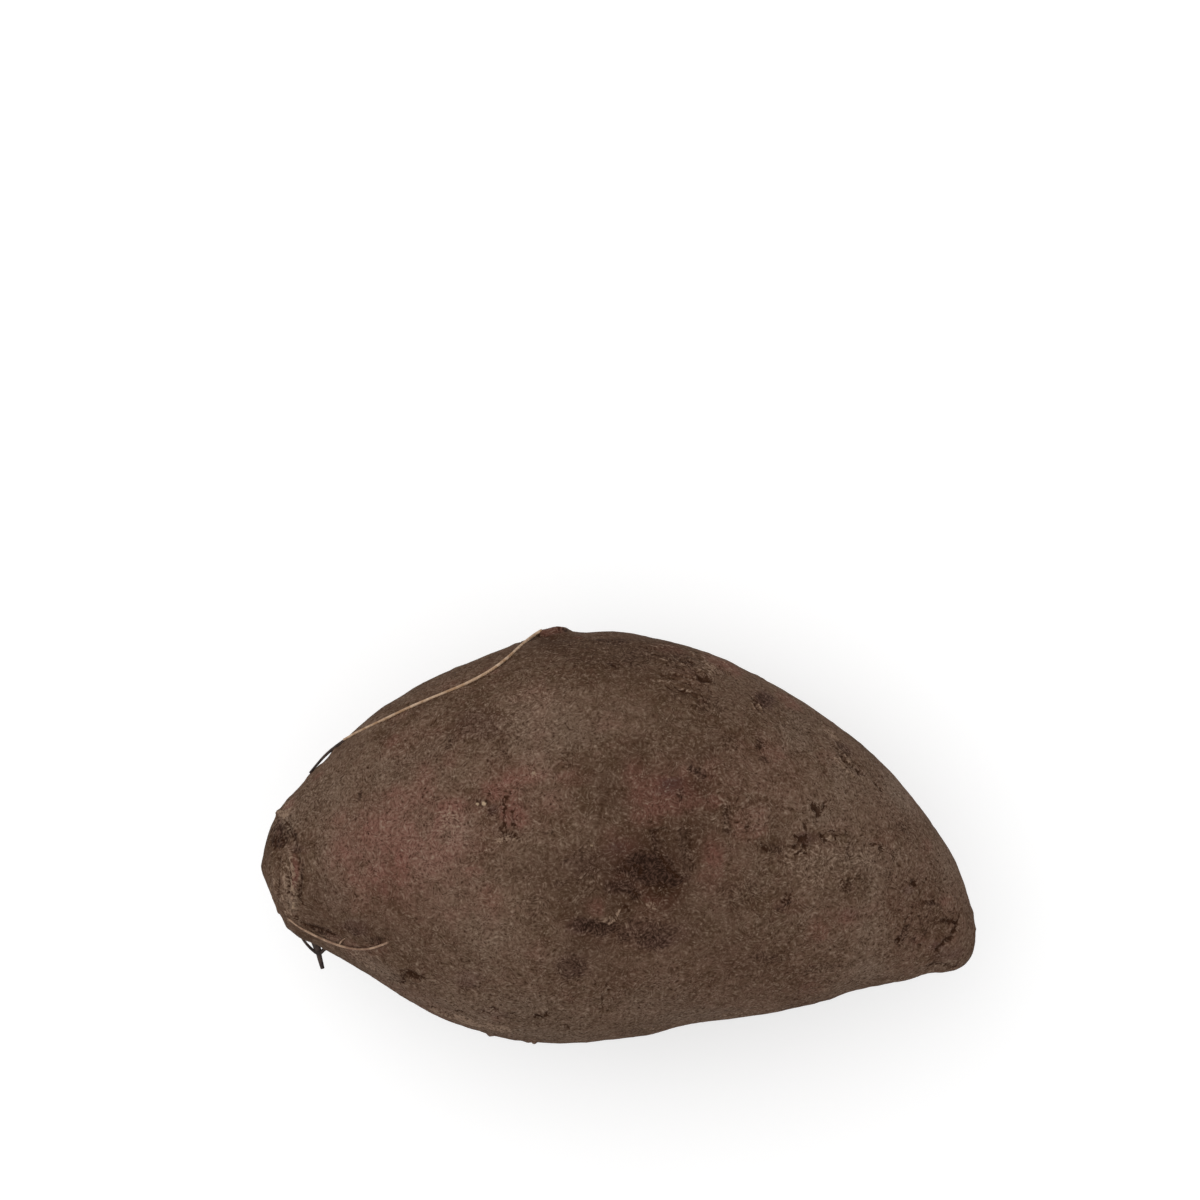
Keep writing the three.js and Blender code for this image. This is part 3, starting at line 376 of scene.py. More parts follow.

# Creases and cracks: a path of x and y, its half width, its depth, and how dark the earth and painted shade
# in it are.
CREASES = {
    "above": [
        ([(-23.1, 6.9), (-23.4, 6.3), (-22.8, 5.3)], 0.3, 0.3, 0.8),
        ([(-23.1, 5), (-22.9, 4.1), (-23.2, 3.3)], 0.3, 0.35, 0.9),
        ([(-23.3, 2.6), (-22.8, 2.2), (-23, 1.4), (-23.8, 1), (-23.2, 0.1)], 0.28, 0.3, 0.9),
        ([(-21.6, 8.3), (-22.3, 7.3)], 0.3, 0.25, 0.7), ([(-20.2, 3.9), (-20.5, 3.3)], 0.28, 0.25, 0.7),
        ([(-21.1, 4.8), (-21.3, 4)], 0.3, 0.2, 0.5), ([(-20.5, 2.7), (-20.6, 1.6)], 0.3, 0.2, 0.5),
        ([(-21.2, 0.3), (-20.7, 0.1)], 0.3, 0.3, 1), ([(-21.6, 2.6), (-21.1, 1.8)], 0.35, 0.2, 0.6),
        ([(-20.4, -0.3), (-20, -0.9)], 0.28, 0.2, 0.8), ([(-22.2, 1), (-22.6, 0.6)], 0.25, 0.2, 0.7),
        ([(-21.9, 0), (-21.7, -0.6)], 0.25, 0.2, 0.7), ([(-23.2, -1), (-22.6, -1.4)], 0.28, 0.2, 0.7),
        ([(-27.6, 6.6), (-27.6, 5.8)], 0.25, 0.25, 0.9), ([(-26, 8.2), (-25.8, 8)], 0.3, 0.2, 0.6),
        ([(-25.8, 5.6), (-26, 5.1)], 0.3, 0.2, 0.6),
        ([(64.6, -17.2), (66, -17.3), (67.5, -17.9), (67.3, -18.9), (66.4, -19.6), (66.4, -20.6), (65, -21),
          (64.2, -22), (63.4, -22.9)], 0.45, 0.5, 1),
        ([(67.5, -17.9), (67.9, -16.4)], 0.3, 0.3, 0.9), ([(58.7, -14.4), (58.3, -15.9)], 0.25, 0.2, 0.45),
        ([(57.9, -16.4), (57.2, -17.4)], 0.3, 0.25, 0.5), ([(57, -18.8), (56.3, -20.2)], 0.4, 0.3, 0.5),
        ([(56, -20.7), (55.5, -21.5)], 0.3, 0.3, 0.8), ([(61, -9.5), (61.6, -8.7)], 0.22, 0.2, 0.8),
        ([(62.3, -12.4), (63, -13.5)], 0.22, 0.2, 0.5), ([(61.2, -13.3), (62.2, -13.6)], 0.22, 0.2, 0.65),
        ([(58.4, -9.3), (59.2, -10.2)], 0.25, 0.3, 1),
        ([(67, -26.6), (65.6, -26.4), (64, -26.2), (62, -26.6)], 0.5, 0.4, 0.5),
        ([(35.8, -3.6), (36.4, -3.3), (37.1, -3.8)], 0.22, 0.25, 0.9),
        ([(41.6, 0.6), (42.4, 0.8), (43, 0.4), (43.4, -1)], 0.22, 0.2, 0.8),
        ([(28.2, -2), (29.6, -3.4)], 0.35, 0.3, 1), ([(20.6, 5.4), (21.4, 4.6), (22, 3.4)], 0.25, 0.2, 0.5),
        ([(21, 0.9), (22.1, 0.7)], 0.22, 0.2, 0.7), ([(51.8, 9.7), (52.4, 8.9)], 0.25, 0.3, 0.9),
        ([(44.1, 15.9), (44.8, 14.8), (45.8, 13.8), (47.4, 12.9), (48.4, 12.4)], 0.4, 0.5, 0.55),
        ([(50.6, 10.8), (51.8, 9.6), (52.6, 8.8)], 0.35, 0.3, 0.7),
        ([(46.6, 15), (48.4, 13.4)], 0.35, 0.25, 0.4), ([(51.4, 7.8), (52.4, 6.6)], 0.3, 0.2, 0.4),
        ([(42.4, 18.2), (43.4, 17), (44.2, 16)], 0.4, 0.3, 0.25),
        ([(-16.2, 39.6), (-14, 39.3), (-12.2, 39.5), (-10, 39.8)], 0.4, 0.4, 0.7),
        ([(-12.1, 40.8), (-11.9, 39.8)], 0.3, 0.3, 0.7), ([(-2, 38.8), (-0.6, 38.5)], 0.25, 0.2, 0.8),
        ([(-8.6, 39.2), (-7.6, 39)], 0.25, 0.2, 0.5), ([(-1.2, 33.9), (-0.8, 33.5)], 0.3, 0.2, 0.8),
        ([(4.2, 36.6), (6, 36.5), (7.2, 35.8)], 0.3, 0.3, 0.8), ([(7.2, 35.8), (8.8, 35)], 0.25, 0.2, 0.5),
        ([(5.2, 37.2), (6.8, 36.9)], 0.22, 0.2, 0.6), ([(9.6, 35.2), (10.6, 34.6)], 0.35, 0.2, 0.6),
        ([(10.4, 36.2), (11.6, 35.6)], 0.3, 0.2, 0.4),
        ([(12, 35.1), (14, 34.7), (15, 33.8)], 0.5, 0.25, 0.55),
        ([(7.6, 34.2), (10, 33.8), (12.8, 32.9)], 0.35, 0.3, 0.45),
        ([(11.8, 33.1), (13, 32.7)], 0.25, 0.2, 0.6),
        ([(7.8, 31.9), (10, 31.1), (12, 30.5), (14, 29.8), (16, 28.9)], 0.3, 0.35, 0.5),
        ([(8.8, 32), (11.6, 31.6), (14, 30.9)], 0.3, 0.2, 0.35),
        ([(14.6, 32.3), (15.8, 31.9), (16.5, 31), (17.8, 30.4)], 0.45, 0.6, 1),
        ([(13, 34.2), (14.6, 33), (15.6, 32.4)], 0.4, 0.25, 0.4),
        ([(11.4, 29.2), (13.2, 28.1)], 0.35, 0.25, 0.6), ([(14.2, 28), (15.6, 26.9)], 0.3, 0.3, 0.6),
        ([(16.4, 27.6), (17.2, 26.4)], 0.3, 0.2, 0.5), ([(17.6, 29.4), (19, 27.6)], 0.4, 0.2, 0.35),
        ([(9.4, 29.4), (11, 28.4)], 0.35, 0.2, 0.35), ([(18, 34.2), (19.6, 32.2)], 0.35, 0.2, 0.35),
        ([(19.8, 33.6), (21.6, 31.8)], 0.3, 0.2, 0.35), ([(15.4, 35.6), (16.6, 34.6)], 0.3, 0.2, 0.4),
        ([(22.4, 32), (23.8, 30.4)], 0.3, 0.2, 0.35), ([(26.3, 27.7), (27.5, 26.5)], 0.35, 0.35, 0.9),
        ([(26.8, 26.4), (27.6, 25.2), (28.2, 24.4)], 0.22, 0.3, 0.8),
        ([(28.1, 26.2), (28.6, 25.2), (29.4, 24.5)], 0.22, 0.3, 0.8),
        ([(28, 19.2), (28.8, 17.8)], 0.25, 0.2, 0.7),
        ([(-2.2, -29.4), (-2.8, -30.4), (-2.2, -31.2)], 0.22, 0.2, 0.8),
        ([(-3.2, -32), (-4, -36.6)], 0.25, 0.2, 0.5),
        ([(0.8, -5.2), (1.4, -6.6), (2.2, -7.4)], 0.3, 0.2, 0.8), ([(0, -6.8), (0.2, -8)], 0.25, 0.2, 0.6),
        ([(3, -6), (4.2, -6.6), (4, -8)], 0.3, 0.2, 0.6),
        ([(8.4, -4.4), (9.6, -6), (10.3, -7.6), (12, -8.6)], 0.45, 0.25, 0.7),
        ([(7, 0.6), (6.9, -0.8)], 0.3, 0.2, 0.7), ([(7.2, 0.6), (8.2, 1.4), (9.4, 1)], 0.25, 0.2, 0.4),
        ([(2.2, -10.4), (3.2, -12)], 0.3, 0.2, 0.7), ([(7.8, -9.6), (9.6, -10.4)], 0.3, 0.2, 0.6),
        ([(1, -14.4), (1.8, -15.4)], 0.35, 0.25, 0.8), ([(13.9, -0.4), (14.2, -5)], 0.4, 0.15, 0.25),
        ([(35, -4), (37.4, -4)], 0.25, 0.2, 0.6), ([(33.6, -11.6), (32.8, -13.6)], 0.3, 0.2, 0.6),
        ([(34.4, -11.8), (34, -13)], 0.3, 0.2, 0.5), ([(45.8, -3), (46, -5)], 0.35, 0.2, 0.35),
        ([(44.4, -9), (44.2, -10.6), (45, -11.2), (45.4, -9.8)], 0.3, 0.2, 0.5),
        ([(-42.4, -27.5), (-43, -28.4), (-43, -29.2), (-44, -29.6)], 0.25, 0.25, 1),
        ([(-41.7, -27.7), (-40.6, -28), (-39.2, -28.7)], 0.22, 0.25, 1),
        ([(-41.6, -28.4), (-40.4, -28.9), (-39.4, -29.2)], 0.2, 0.25, 1),
        ([(-37.3, -34.6), (-36, -35), (-34.4, -35.8)], 0.3, 0.4, 1),
        ([(-33.8, -33.7), (-32.2, -34.4)], 0.22, 0.25, 0.8), ([(-34, -35.8), (-33, -36.3)], 0.22, 0.25, 0.9),
        ([(-31, -36.7), (-30.4, -37)], 0.22, 0.25, 0.9), ([(-29.6, -36.2), (-29, -36.5)], 0.25, 0.3, 1),
        ([(-27.6, -35.2), (-26.3, -35.6)], 0.25, 0.35, 1),
        ([(-24.4, -36.2), (-24.2, -36.8)], 0.22, 0.25, 0.7), ([(-24, -37.6), (-22, -38.2)], 0.22, 0.2, 0.5),
        ([(-10.6, -38), (-10.2, -38.6)], 0.22, 0.2, 0.7),
        ([(-17.2, -36.3), (-16, -36.9), (-15.4, -36.6)], 0.25, 0.3, 0.9),
        ([(-65, -17), (-63.4, -17.8), (-61.4, -18.6), (-59, -19.5), (-57, -20.2)], 0.35, 0.3, 0.7),
        ([(-63.6, -9), (-63.6, -12.6)], 0.3, 0.3, 0.6),
        ([(-64.2, -3.6), (-64.1, -8), (-63.9, -13)], 0.45, 0.4, 0.1),
        ([(-68.9, -1), (-68.8, -2.8)], 0.35, 0.3, 0.9), ([(-67.6, -1), (-67.3, -2.4)], 0.35, 0.3, 0.9),
        ([(-66.4, 2.6), (-65.8, 0.6), (-65.4, -1)], 0.3, 0.3, 0.7),
        ([(-68.6, 3.6), (-68.2, 1), (-68.6, -0.6)], 0.3, 0.3, 0.6),
        ([(-69.4, 1), (-69.7, -2.4)], 0.3, 0.3, 0.6),
        ([(-66.9, 3.2), (-66.8, 1.6), (-67.2, 0)], 0.25, 0.3, 0.6),
        ([(-69.4, -4), (-69.6, -5.6)], 0.3, 0.2, 0.4), ([(-67.8, -4.6), (-68.2, -7)], 0.3, 0.3, 0.3),
        ([(-65.7, -7.6), (-65.4, -8.8)], 0.3, 0.25, 0.8), ([(-65.3, -11.5), (-64.9, -12.3)], 0.3, 0.25, 0.8),
        ([(-67.9, -8.8), (-68, -11.8)], 0.3, 0.3, 0.5), ([(-66.1, -8.6), (-66.1, -11.8)], 0.3, 0.3, 0.5),
        ([(-66.5, -12.6), (-66.2, -14.2)], 0.25, 0.25, 0.5), ([(-69.5, -6.4), (-69.8, -8.4)], 0.3, 0.3, 0.5),
        ([(-63.7, -13), (-63.4, -13.9)], 0.3, 0.2, 0.8), ([(-64.6, -16.6), (-64.2, -17.4)], 0.35, 0.3, 0.8),
    ],
    "below": [
        ([(-20.4, 39), (-18, 36.4), (-15, 35.2), (-12, 35.6), (-9.8, 36.6)], 0.45, 0.8, 0.8),
        ([(-10, 36.4), (-7, 36.9), (-4, 38), (-0.6, 38.9)], 0.45, 0.7, 0.8),
        ([(-16.6, 33.6), (-14, 32.6), (-12.4, 33)], 0.3, 0.3, 0.5),
        ([(19.4, 30), (20.8, 27.4), (23.6, 26), (26.2, 27), (27.4, 28.8)], 0.5, 0.8, 1),
        ([(31.4, -23.4), (31.2, -26), (29.8, -28.4)], 0.3, 0.35, 0.7),
        ([(31.8, -30.2), (29.4, -31.8)], 0.3, 0.3, 0.6),
        ([(62.4, -0.6), (61.6, -6), (60, -11.4), (58.2, -16.4)], 0.6, 0.4, 0.4),
        ([(66.4, -11.6), (64, -15), (60.8, -18.4), (57.6, -20.4)], 0.6, 0.4, 0.4),
        ([(69.6, -13.2), (67.2, -12), (66, -15.4), (65.6, -19.6), (64.4, -23.8), (62, -27.4)], 0.6, 0.7, 0.8),
        ([(10, 11.6), (14, 10.2), (18, 8.4), (22, 6.6)], 0.4, 0.2, 0.3),
        ([(-42, -29.6), (-37, -32), (-31, -33.4), (-25, -35)], 0.45, 0.35, 0.8),
        ([(-52.4, -20.4), (-53.6, -19), (-55.4, -17.2)], 0.35, 0.35, 0.7),
    ],
}
# Raised corky ridges: a path of x and y, its half width, its height, and how pale it is.
RIDGES = {
    "above": [
        ([(-66, -3), (-65.4, -5.4), (-65, -9), (-65.1, -13), (-64.9, -15)], 0.6, 0.5, 0.4),
        ([(-65.7, -4.8), (-65.1, -6.4), (-64.9, -8)], 0.3, 0.15, 0.9),
        ([(-65.5, -9.2), (-65, -11.2)], 0.4, 0.15, 1),
        ([(-65.4, -12.6), (-65, -13.6), (-64.9, -14.8)], 0.35, 0.2, 1),
        ([(-66.4, -6), (-66, -7.4)], 0.25, 0.15, 0.6),
        ([(-67.4, -8), (-66.8, -9), (-66.7, -10.6)], 0.3, 0.25, 0.8),
        ([(-69, -7.4), (-68.4, -11.2)], 0.3, 0.2, 0.5),
        ([(-67.4, -12.2), (-66.8, -14), (-66.2, -15.2)], 0.3, 0.25, 0.7),
        ([(-66.8, -15.4), (-66.2, -17)], 0.35, 0.3, 0.8),
        ([(-69.6, -10), (-69, -12.8), (-68, -15.6)], 0.25, 0.2, 0.4),
        ([(-69.2, -3.6), (-68.2, -5.2)], 0.3, 0.15, 0.3),
        ([(-68.6, 4.4), (-67.4, 4.5), (-66, 5)], 0.45, 0.4, 1),
        ([(44.7, 15.9), (45.4, 15.1), (46, 14.2)], 0.25, 0.4, 1),
        ([(44, 15.2), (44.8, 14.1)], 0.22, 0.2, 0.8),
        ([(43, 15.4), (44.4, 13.6), (47, 11.4)], 0.35, 0.3, 0.5),
        ([(15.8, 32.9), (16.6, 32.2), (17.8, 31.3)], 0.35, 0.3, 0.6),
        ([(27, 27), (28, 25.6), (28.7, 24.5)], 0.22, 0.25, 0.8), ([(26.4, 26.2), (27, 25.2)], 0.22, 0.2, 0.7),
        ([(8, 34.9), (12.4, 34), (13.6, 33.4)], 0.35, 0.2, 0.3),
        ([(7, 31), (10, 30.2), (13, 29.3)], 0.35, 0.2, 0.3),
        ([(10, 32.4), (12, 31.9), (14.4, 31.4)], 0.35, 0.2, 0.3),
        ([(18.4, 33.5), (19.4, 32.4)], 0.35, 0.2, 0.7), ([(14, 36.6), (14.8, 35.8)], 0.35, 0.2, 0.5),
        ([(16.6, 35.4), (17.6, 33.8)], 0.3, 0.2, 0.4), ([(12.6, 28.9), (14.6, 28.2)], 0.3, 0.2, 0.4),
        ([(20.8, 34.2), (22.6, 32.6)], 0.3, 0.2, 0.5),
        ([(-0.2, -15.2), (-0.6, -16.6), (-1.9, -18)], 0.25, 0.2, 0.8),
        ([(-1.6, -16.2), (-3, -17.2)], 0.3, 0.2, 0.5),
        ([(-38, -34.2), (-36, -35.5), (-33, -36.9)], 0.3, 0.3, 0.5),
        ([(35, -3.4), (36, -3), (37.6, -3.9)], 0.25, 0.15, 0.6),
        ([(41.4, -1), (42.2, -0.3), (42.8, -0.8)], 0.3, 0.15, 0.7),
    ],
    "below": [
        ([(-20.6, 37.6), (-18, 35.2), (-15, 34), (-11.6, 34.2)], 0.45, 0.5, 0.4),
        ([(-12, 37), (-8, 38), (-4, 39.1), (-1, 39.8)], 0.4, 0.35, 0.5),
        ([(32.6, -23.2), (32.2, -26), (30.6, -28.6)], 0.4, 0.35, 0.5),
        ([(32.4, -31), (30, -32.6), (27.6, -33.8)], 0.4, 0.3, 0.4),
        ([(19.8, 26.4), (23.4, 24.8), (26.8, 25.8)], 0.5, 0.3, 0.3),
        ([(-55.2, -18.6), (-54, -21.6), (-51.6, -25)], 0.4, 0.25, 0.3),
    ],
}

# Rootlets lying on the skin: the x and y of each point of the middle line, and how far off the skin it is.
LONG_ROOTLET = [
    (-15.6, 41.2, 0), (-17.6, 39.2, 0.4), (-20.4, 36.4, 0.6), (-24.6, 32.9, 0.4), (-31, 29.5, 0.35),
    (-41, 25.7, 0.35), (-47.4, 22.4, 0.35), (-52, 20.4, 0.35), (-55, 18.8, 0.2),
]
CURLED_ROOTLET = [
    (-66.4, -16.8, -0.3), (-64.6, -18.2, 0), (-61.6, -19.7, 0.2), (-58.4, -21, 0.4), (-55, -22.2, 0.5),
    (-51.2, -23, 0.4), (-48.4, -22.4, 0.4), (-46.3, -21.5, 0.2),
]
CURLED_ROOTLET_HAIR = [(-55.8, -21.8, 0.3), (-55.5, -21, 0.4), (-54.7, -20.6, 0.3)]
LOWER_ROOTLET = [
    (-29.4, -34.6, -0.1), (-31, -33.8, 0.3), (-32.4, -32.9, 0.3), (-34.4, -32.8, 0.3), (-35.8, -31.9, 0.3),
    (-36.8, -30.8, -0.1),
]
ROOT_STUB = [(-42.2, -6.6, -0.3), (-41.6, -7.2, 0.4), (-40.9, -8.4, 0.5), (-40.6, -10.2, -0.3)]
TUFT_KNOT = [
    [(-55.6, -14.4, -0.3), (-56.2, -16.6, 0.5), (-58.2, -16.2, 0.7), (-58.2, -13.6, 0.7), (-60.2, -12, 0.3)],
    [(-55.2, -15.4, -0.3), (-56.8, -13.6, 0.7), (-58.8, -14.2, 0.8), (-59.4, -12.8, 0.3)],
    [(-56.8, -15, -0.4), (-57.4, -13.2, 0.5), (-56, -13, 0.2)],
]
LOWER_TUFT = [
    [(-57.4, -14.2, -0.3), (-58.6, -15.4, 0.7), (-60.4, -16.6, 0.8), (-61.2, -14.8, 0.9),
     (-63.4, -13.8, 0.8)],
    [(-57, -15.4, -0.3), (-58.6, -15.8, 0.5), (-60.2, -16.2, 0.3)],
]
# These hang past the flank, so their points are in space, at heights measured from END_HEIGHT.
ROOTLET_END = [(-54.4, 19.2, 5), (-57.2, 17.3, 4.6), (-59.2, 15.5, 4), (-60.4, 14, 3.4), (-61.8, 12.4, 2.8)]
DARK_TUFT = [
    ([(-61.6, -19.6, -2), (-61, -21.8, -2.6), (-60.4, -24.2, -3.4)], 1.15, 0.6),
    ([(-60.6, -23.2, -3.1), (-60.3, -25, -3.6), (-59.7, -27.2, -4.2)], 0.6, 0.42),
    ([(-64.4, -19.4, -1.4), (-63.5, -21.6, -2.2), (-62.2, -23, -2.8), (-60.9, -24, -3.2)], 0.24, 0.34),
    ([(-57.4, -21.8, -2), (-58.9, -22.8, -2.7), (-60.3, -24.2, -3.3)], 0.36, 0.42),
]

# Each piece: its finish, where it is, and its strands as points with a radius at the start and at the end.
ROOTLETS = {
    "long_rootlet": ("tan", "above", [(LONG_ROOTLET, 0.34, 0.26)]),
    # The rootlet's end is the long rootlet's far end, darkened as painted shade where it hangs past the
    # flank.
    "rootlet_end": ("dark_and_shaded", "hanging", [(ROOTLET_END, 0.34, 0.24)]),
    "curled_rootlet": ("pink", "above", [(CURLED_ROOTLET, 0.26, 0.22), (CURLED_ROOTLET_HAIR, 0.16, 0.1)]),
    "lower_rootlet": ("pink", "below", [(LOWER_ROOTLET, 0.2, 0.28)]),
    "root_stub": ("pink", "below", [(ROOT_STUB, 0.5, 0.36)]),
    "tuft_knot": ("brown", "below", [(points, 0.26, 0.16) for points in TUFT_KNOT]),
    "lower_tuft": ("pink", "below", [(points, 0.3, 0.22) for points in LOWER_TUFT]),
    "dark_tuft": ("dark_and_shaded", "hanging", DARK_TUFT),
}


# ---- the skin's shape --------------------------------------------------------------------------------------

def faces_tree(obj):
    """A search tree over an object's faces, in millimetres."""
    mesh = obj.data
    points = [vertex.co / MM for vertex in mesh.vertices]
    return BVHTree.FromPolygons(points, [tuple(polygon.vertices) for polygon in mesh.polygons])


def positions(obj):
    """An object's vertices in millimetres, as rows."""
    flat = np.empty(len(obj.data.vertices) * 3)
    obj.data.vertices.foreach_get("co", flat)
    return flat.reshape(-1, 3) / MM


def place(obj, points):
    """Puts an object's vertices at these rows of millimetres."""
    obj.data.vertices.foreach_set("co", (points * MM).ravel())
    obj.data.update()


def edges_of(obj):
    """An object's edges as rows of two vertex numbers."""
    flat = np.empty(len(obj.data.edges) * 2, dtype=np.int64)
    obj.data.edges.foreach_get("vertices", flat)
    return flat.reshape(-1, 2)


def normals_of(obj):
    """The way each of an object's vertices faces, as rows."""
    flat = np.empty(len(obj.data.vertices) * 3, dtype=np.float32)
    obj.data.vertex_normals.foreach_get("vector", flat)
    return flat.reshape(-1, 3).astype(float)


def only(obj):
    """Selects one object and makes it the active one."""
    bpy.ops.object.select_all(action="DESELECT")
    obj.select_set(True)
    bpy.context.view_layer.objects.active = obj


def ball_of_squares():
    """A cube cut into small squares, and where its vertices go on a unit ball of nearly even squares."""
    bpy.ops.object.select_all(action="DESELECT")
    bpy.ops.mesh.primitive_cube_add(size=2)
    ball = bpy.context.object
    bpy.ops.object.mode_set(mode="EDIT")
    bpy.ops.mesh.select_all(action="SELECT")
    bpy.ops.mesh.subdivide(number_cuts=CUTS_FIRST)
    bpy.ops.mesh.subdivide(number_cuts=1)
    bpy.ops.object.mode_set(mode="OBJECT")
    # Even steps of angle on the cube's faces become even steps on the ball.
    on_cube = np.tan(positions(ball) * MM * math.pi / 4)
    return ball, on_cube / np.linalg.norm(on_cube, axis=1, keepdims=True)


def wipe_thin(heights, edges, steps):
    """Heights over a grid, without what stands up and is narrower than twice this many steps."""
    for spread in (np.minimum, np.maximum):
        for _ in range(steps):
            wider = heights.copy()
            spread.at(wider, edges[:, 0], heights[edges[:, 1]])
            spread.at(wider, edges[:, 1], heights[edges[:, 0]])
            heights = wider
    return heights


def middle_line(points, low, high):
    """The middle of the root's sections, as y and z over x."""
    stations = np.linspace(low[0] + 1, high[0] - 1, SECTIONS)
    middles = []
    for x in stations:
        near = points[np.abs(points[:, 0] - x) < SECTION_REACH]
        middles.append((near.min(axis=0) + near.max(axis=0)) / 2)
    middles = np.array(middles)
    return lambda x: (np.interp(x, stations, middles[:, 1]), np.interp(x, stations, middles[:, 2]))


def drape_on_solid(solid):
    """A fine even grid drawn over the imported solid, without its rootlets and facets."""
    skin, outward = ball_of_squares()
    low, high = (np.array(corner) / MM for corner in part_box("tuber"))
    half = (high - low) / 2
    middle = middle_line(positions(solid), low, high)
    tree = faces_tree(solid)

    # Each point looks out from a short line inside the root towards its place on a plain long ball.
    inner_x = INNER_LINE * outward[:, 0] * half[0]
    inner = np.column_stack([inner_x, *middle(inner_x)])
    outer_x = outward[:, 0] * half[0]
    aim = np.column_stack([outer_x, *middle(outer_x)]) + outward * half * (0, 1, 1)
    look = aim - inner
    look /= np.linalg.norm(look, axis=1, keepdims=True)
    reach = np.array([tree.ray_cast(Vector(start), Vector(way))[3] for start, way in zip(inner, look)])
    reach = wipe_thin(reach, edges_of(skin), FIBRE_CLEARING)
    place(skin, inner + look * reach[:, None])

    smooth = skin.modifiers.new("smooth", "SMOOTH")
    smooth.factor = 0.5
    smooth.iterations = SMOOTHING_ROUNDS
    only(skin)
    bpy.ops.object.modifier_apply(modifier="smooth")
    skin.name = skin.data.name = "skin"
    return skin


def mottle(points, width, shift=0.0):
    """Noise of three sizes, from about -1 to 1. Its largest lumps are about this wide."""
    offset = Vector((shift, 2 * shift, -shift))
    return np.array([noise.fractal(Vector(point) + offset, 0.9, 2.0, 3) for point in points / width])


def jostle(points, pushes):
    """Points pushed about by noise, for edges that wander."""
    for width, distance in pushes:
        push = np.array([noise.noise_vector(Vector(point)) for point in points / width])
        points = points + push * distance
    return points


def fade(distance, full, gone):
    """1 up to the full distance, 0 past the gone one, and a smooth fall between them."""
    share = np.clip((distance - gone) / (full - gone), 0, 1)
    return share * share * (3 - 2 * share)


def hill(distance, crest=0.0, width=1.0):
    """1 at the crest's distance from a mark, and a smooth fall over the width on both sides of it."""
    return np.exp(-((distance - crest) / width) ** 2)


def dent(relief, distance, depth, rim):
    """Sinks a mark into the relief, and raises its rim."""
    crest, width, share = rim
    relief -= depth * hill(distance)
    relief += share * depth * hill(distance, crest, width)


def on_skin(tree, x, y, side):
    """Where the skin is seen at x and y, or its nearest part where it isn't."""
    eye = Vector(EYES[side])
    target = Vector((x, y, MIDDLE_HEIGHT))
    return tree.ray_cast(eye, (target - eye).normalized())[0] or tree.find_nearest(target)[0]


def spot_distance(points, tree, spot, side):
    """How far points are from a spot's middle, in its own half sizes."""
    x, y, half_length, half_width, turn = spot[:5]
    off = points - np.array(on_skin(tree, x, y, side))
    cosine, sine = math.cos(math.radians(turn)), math.sin(math.radians(turn))
    lengthways = (off[:, 0] * cosine + off[:, 1] * sine) / half_length
    sideways = (off[:, 1] * cosine - off[:, 0] * sine) / half_width
    upwards = off[:, 2] / min(TALLEST_SPOT, 2 * max(half_length, half_width))
    return np.sqrt(lengthways ** 2 + sideways ** 2 + upwards ** 2)


def path_distance(points, tree, route, side):
    """The distance from points to a path on the skin, in millimetres."""
    path = np.array([on_skin(tree, x, y, side) for x, y in route])
    nearest = np.full(len(points), np.inf)
    for start, end in zip(path[:-1], path[1:]):
        run = end - start
        along = np.clip(((points - start) @ run) / (run @ run), 0, 1)
        nearest = np.minimum(nearest, np.linalg.norm(points - start - along[:, None] * run, axis=1))
    return nearest


def near_small_marks(points, tree, within):
    """Which points lie this near to a pit, small lump, drop of sap, crease or ridge."""
    near = np.zeros(len(points), dtype=bool)
    for side, spots in [*PITS.items(), *LUMPS.items(), *SPOTS["sap"].items()]:
        for spot in spots:
            if spot[2] < SMALL_MARK:
                middle = np.array(on_skin(tree, spot[0], spot[1], side))
                near |= np.linalg.norm(points - middle, axis=1) < spot[2] + within
    for side, paths in [*CREASES.items(), *RIDGES.items()]:
        for route, *_ in paths:
            near |= path_distance(points, tree, route, side) < within
    return near


def refine(skin, tree):
    """Cuts the faces near small marks in four, and then the nearest ones again."""
    for within in FINER_WITHIN:
        near = near_small_marks(positions(skin), tree, within)
        only(skin)
        bpy.ops.object.mode_set(mode="EDIT")
        bpy.ops.mesh.select_mode(type="FACE")
        bpy.ops.mesh.select_all(action="DESELECT")
        bpy.ops.object.mode_set(mode="OBJECT")
        for polygon in skin.data.polygons:
            polygon.select = all(near[vertex] for vertex in polygon.vertices)
        bpy.ops.object.mode_set(mode="EDIT")
        bpy.ops.mesh.subdivide(number_cuts=1, ngon=False)
        bpy.ops.object.mode_set(mode="OBJECT")


def make_masks(broad, fine, tree):
    """How strongly each point has each kind of spot, from 0 to 1, and the sum of each broad change."""
    masks = {}
    for name, spots in SPOTS.items():
        points = fine if name == "sap" else broad
        bare = np.ones(len(points))
        for side, marks in spots.items():
            for spot in marks:
                bare *= 1 - spot[5] * fade(spot_distance(points, tree, spot, side), *SPOT_EDGE)
        masks[name] = 1 - bare
    for name, changes in (("tone_and_shading", TONES_AND_PAINTED_SHADING), ("grit", GRITS)):
        masks[name] = np.zeros(len(broad))
        for side, spots in changes.items():
            for spot in spots:
                masks[name] += spot[5] * fade(spot_distance(broad, tree, spot, side), *SOFT_EDGE)
    return masks


def add_lumps(relief, broad, tree):
    """Soft lumps and hollows."""
    for side, lumps in LUMPS.items():
        for lump in lumps:
            relief += lump[5] * hill(spot_distance(broad, tree, lump, side))


def sink_pits(relief, cracks, fine, tree):
    """Pits with a low rim, darkened with earth and painted shade, the more the deeper they are."""
    for side, pits in PITS.items():
        for pit in pits:
            depth = pit[5]
            distance = spot_distance(fine, tree, pit, side)
            dent(relief, distance, depth, PIT_RIM)
            np.maximum(cracks, (1.2 - 0.5 * distance) * min(1, 2 * depth), out=cracks)


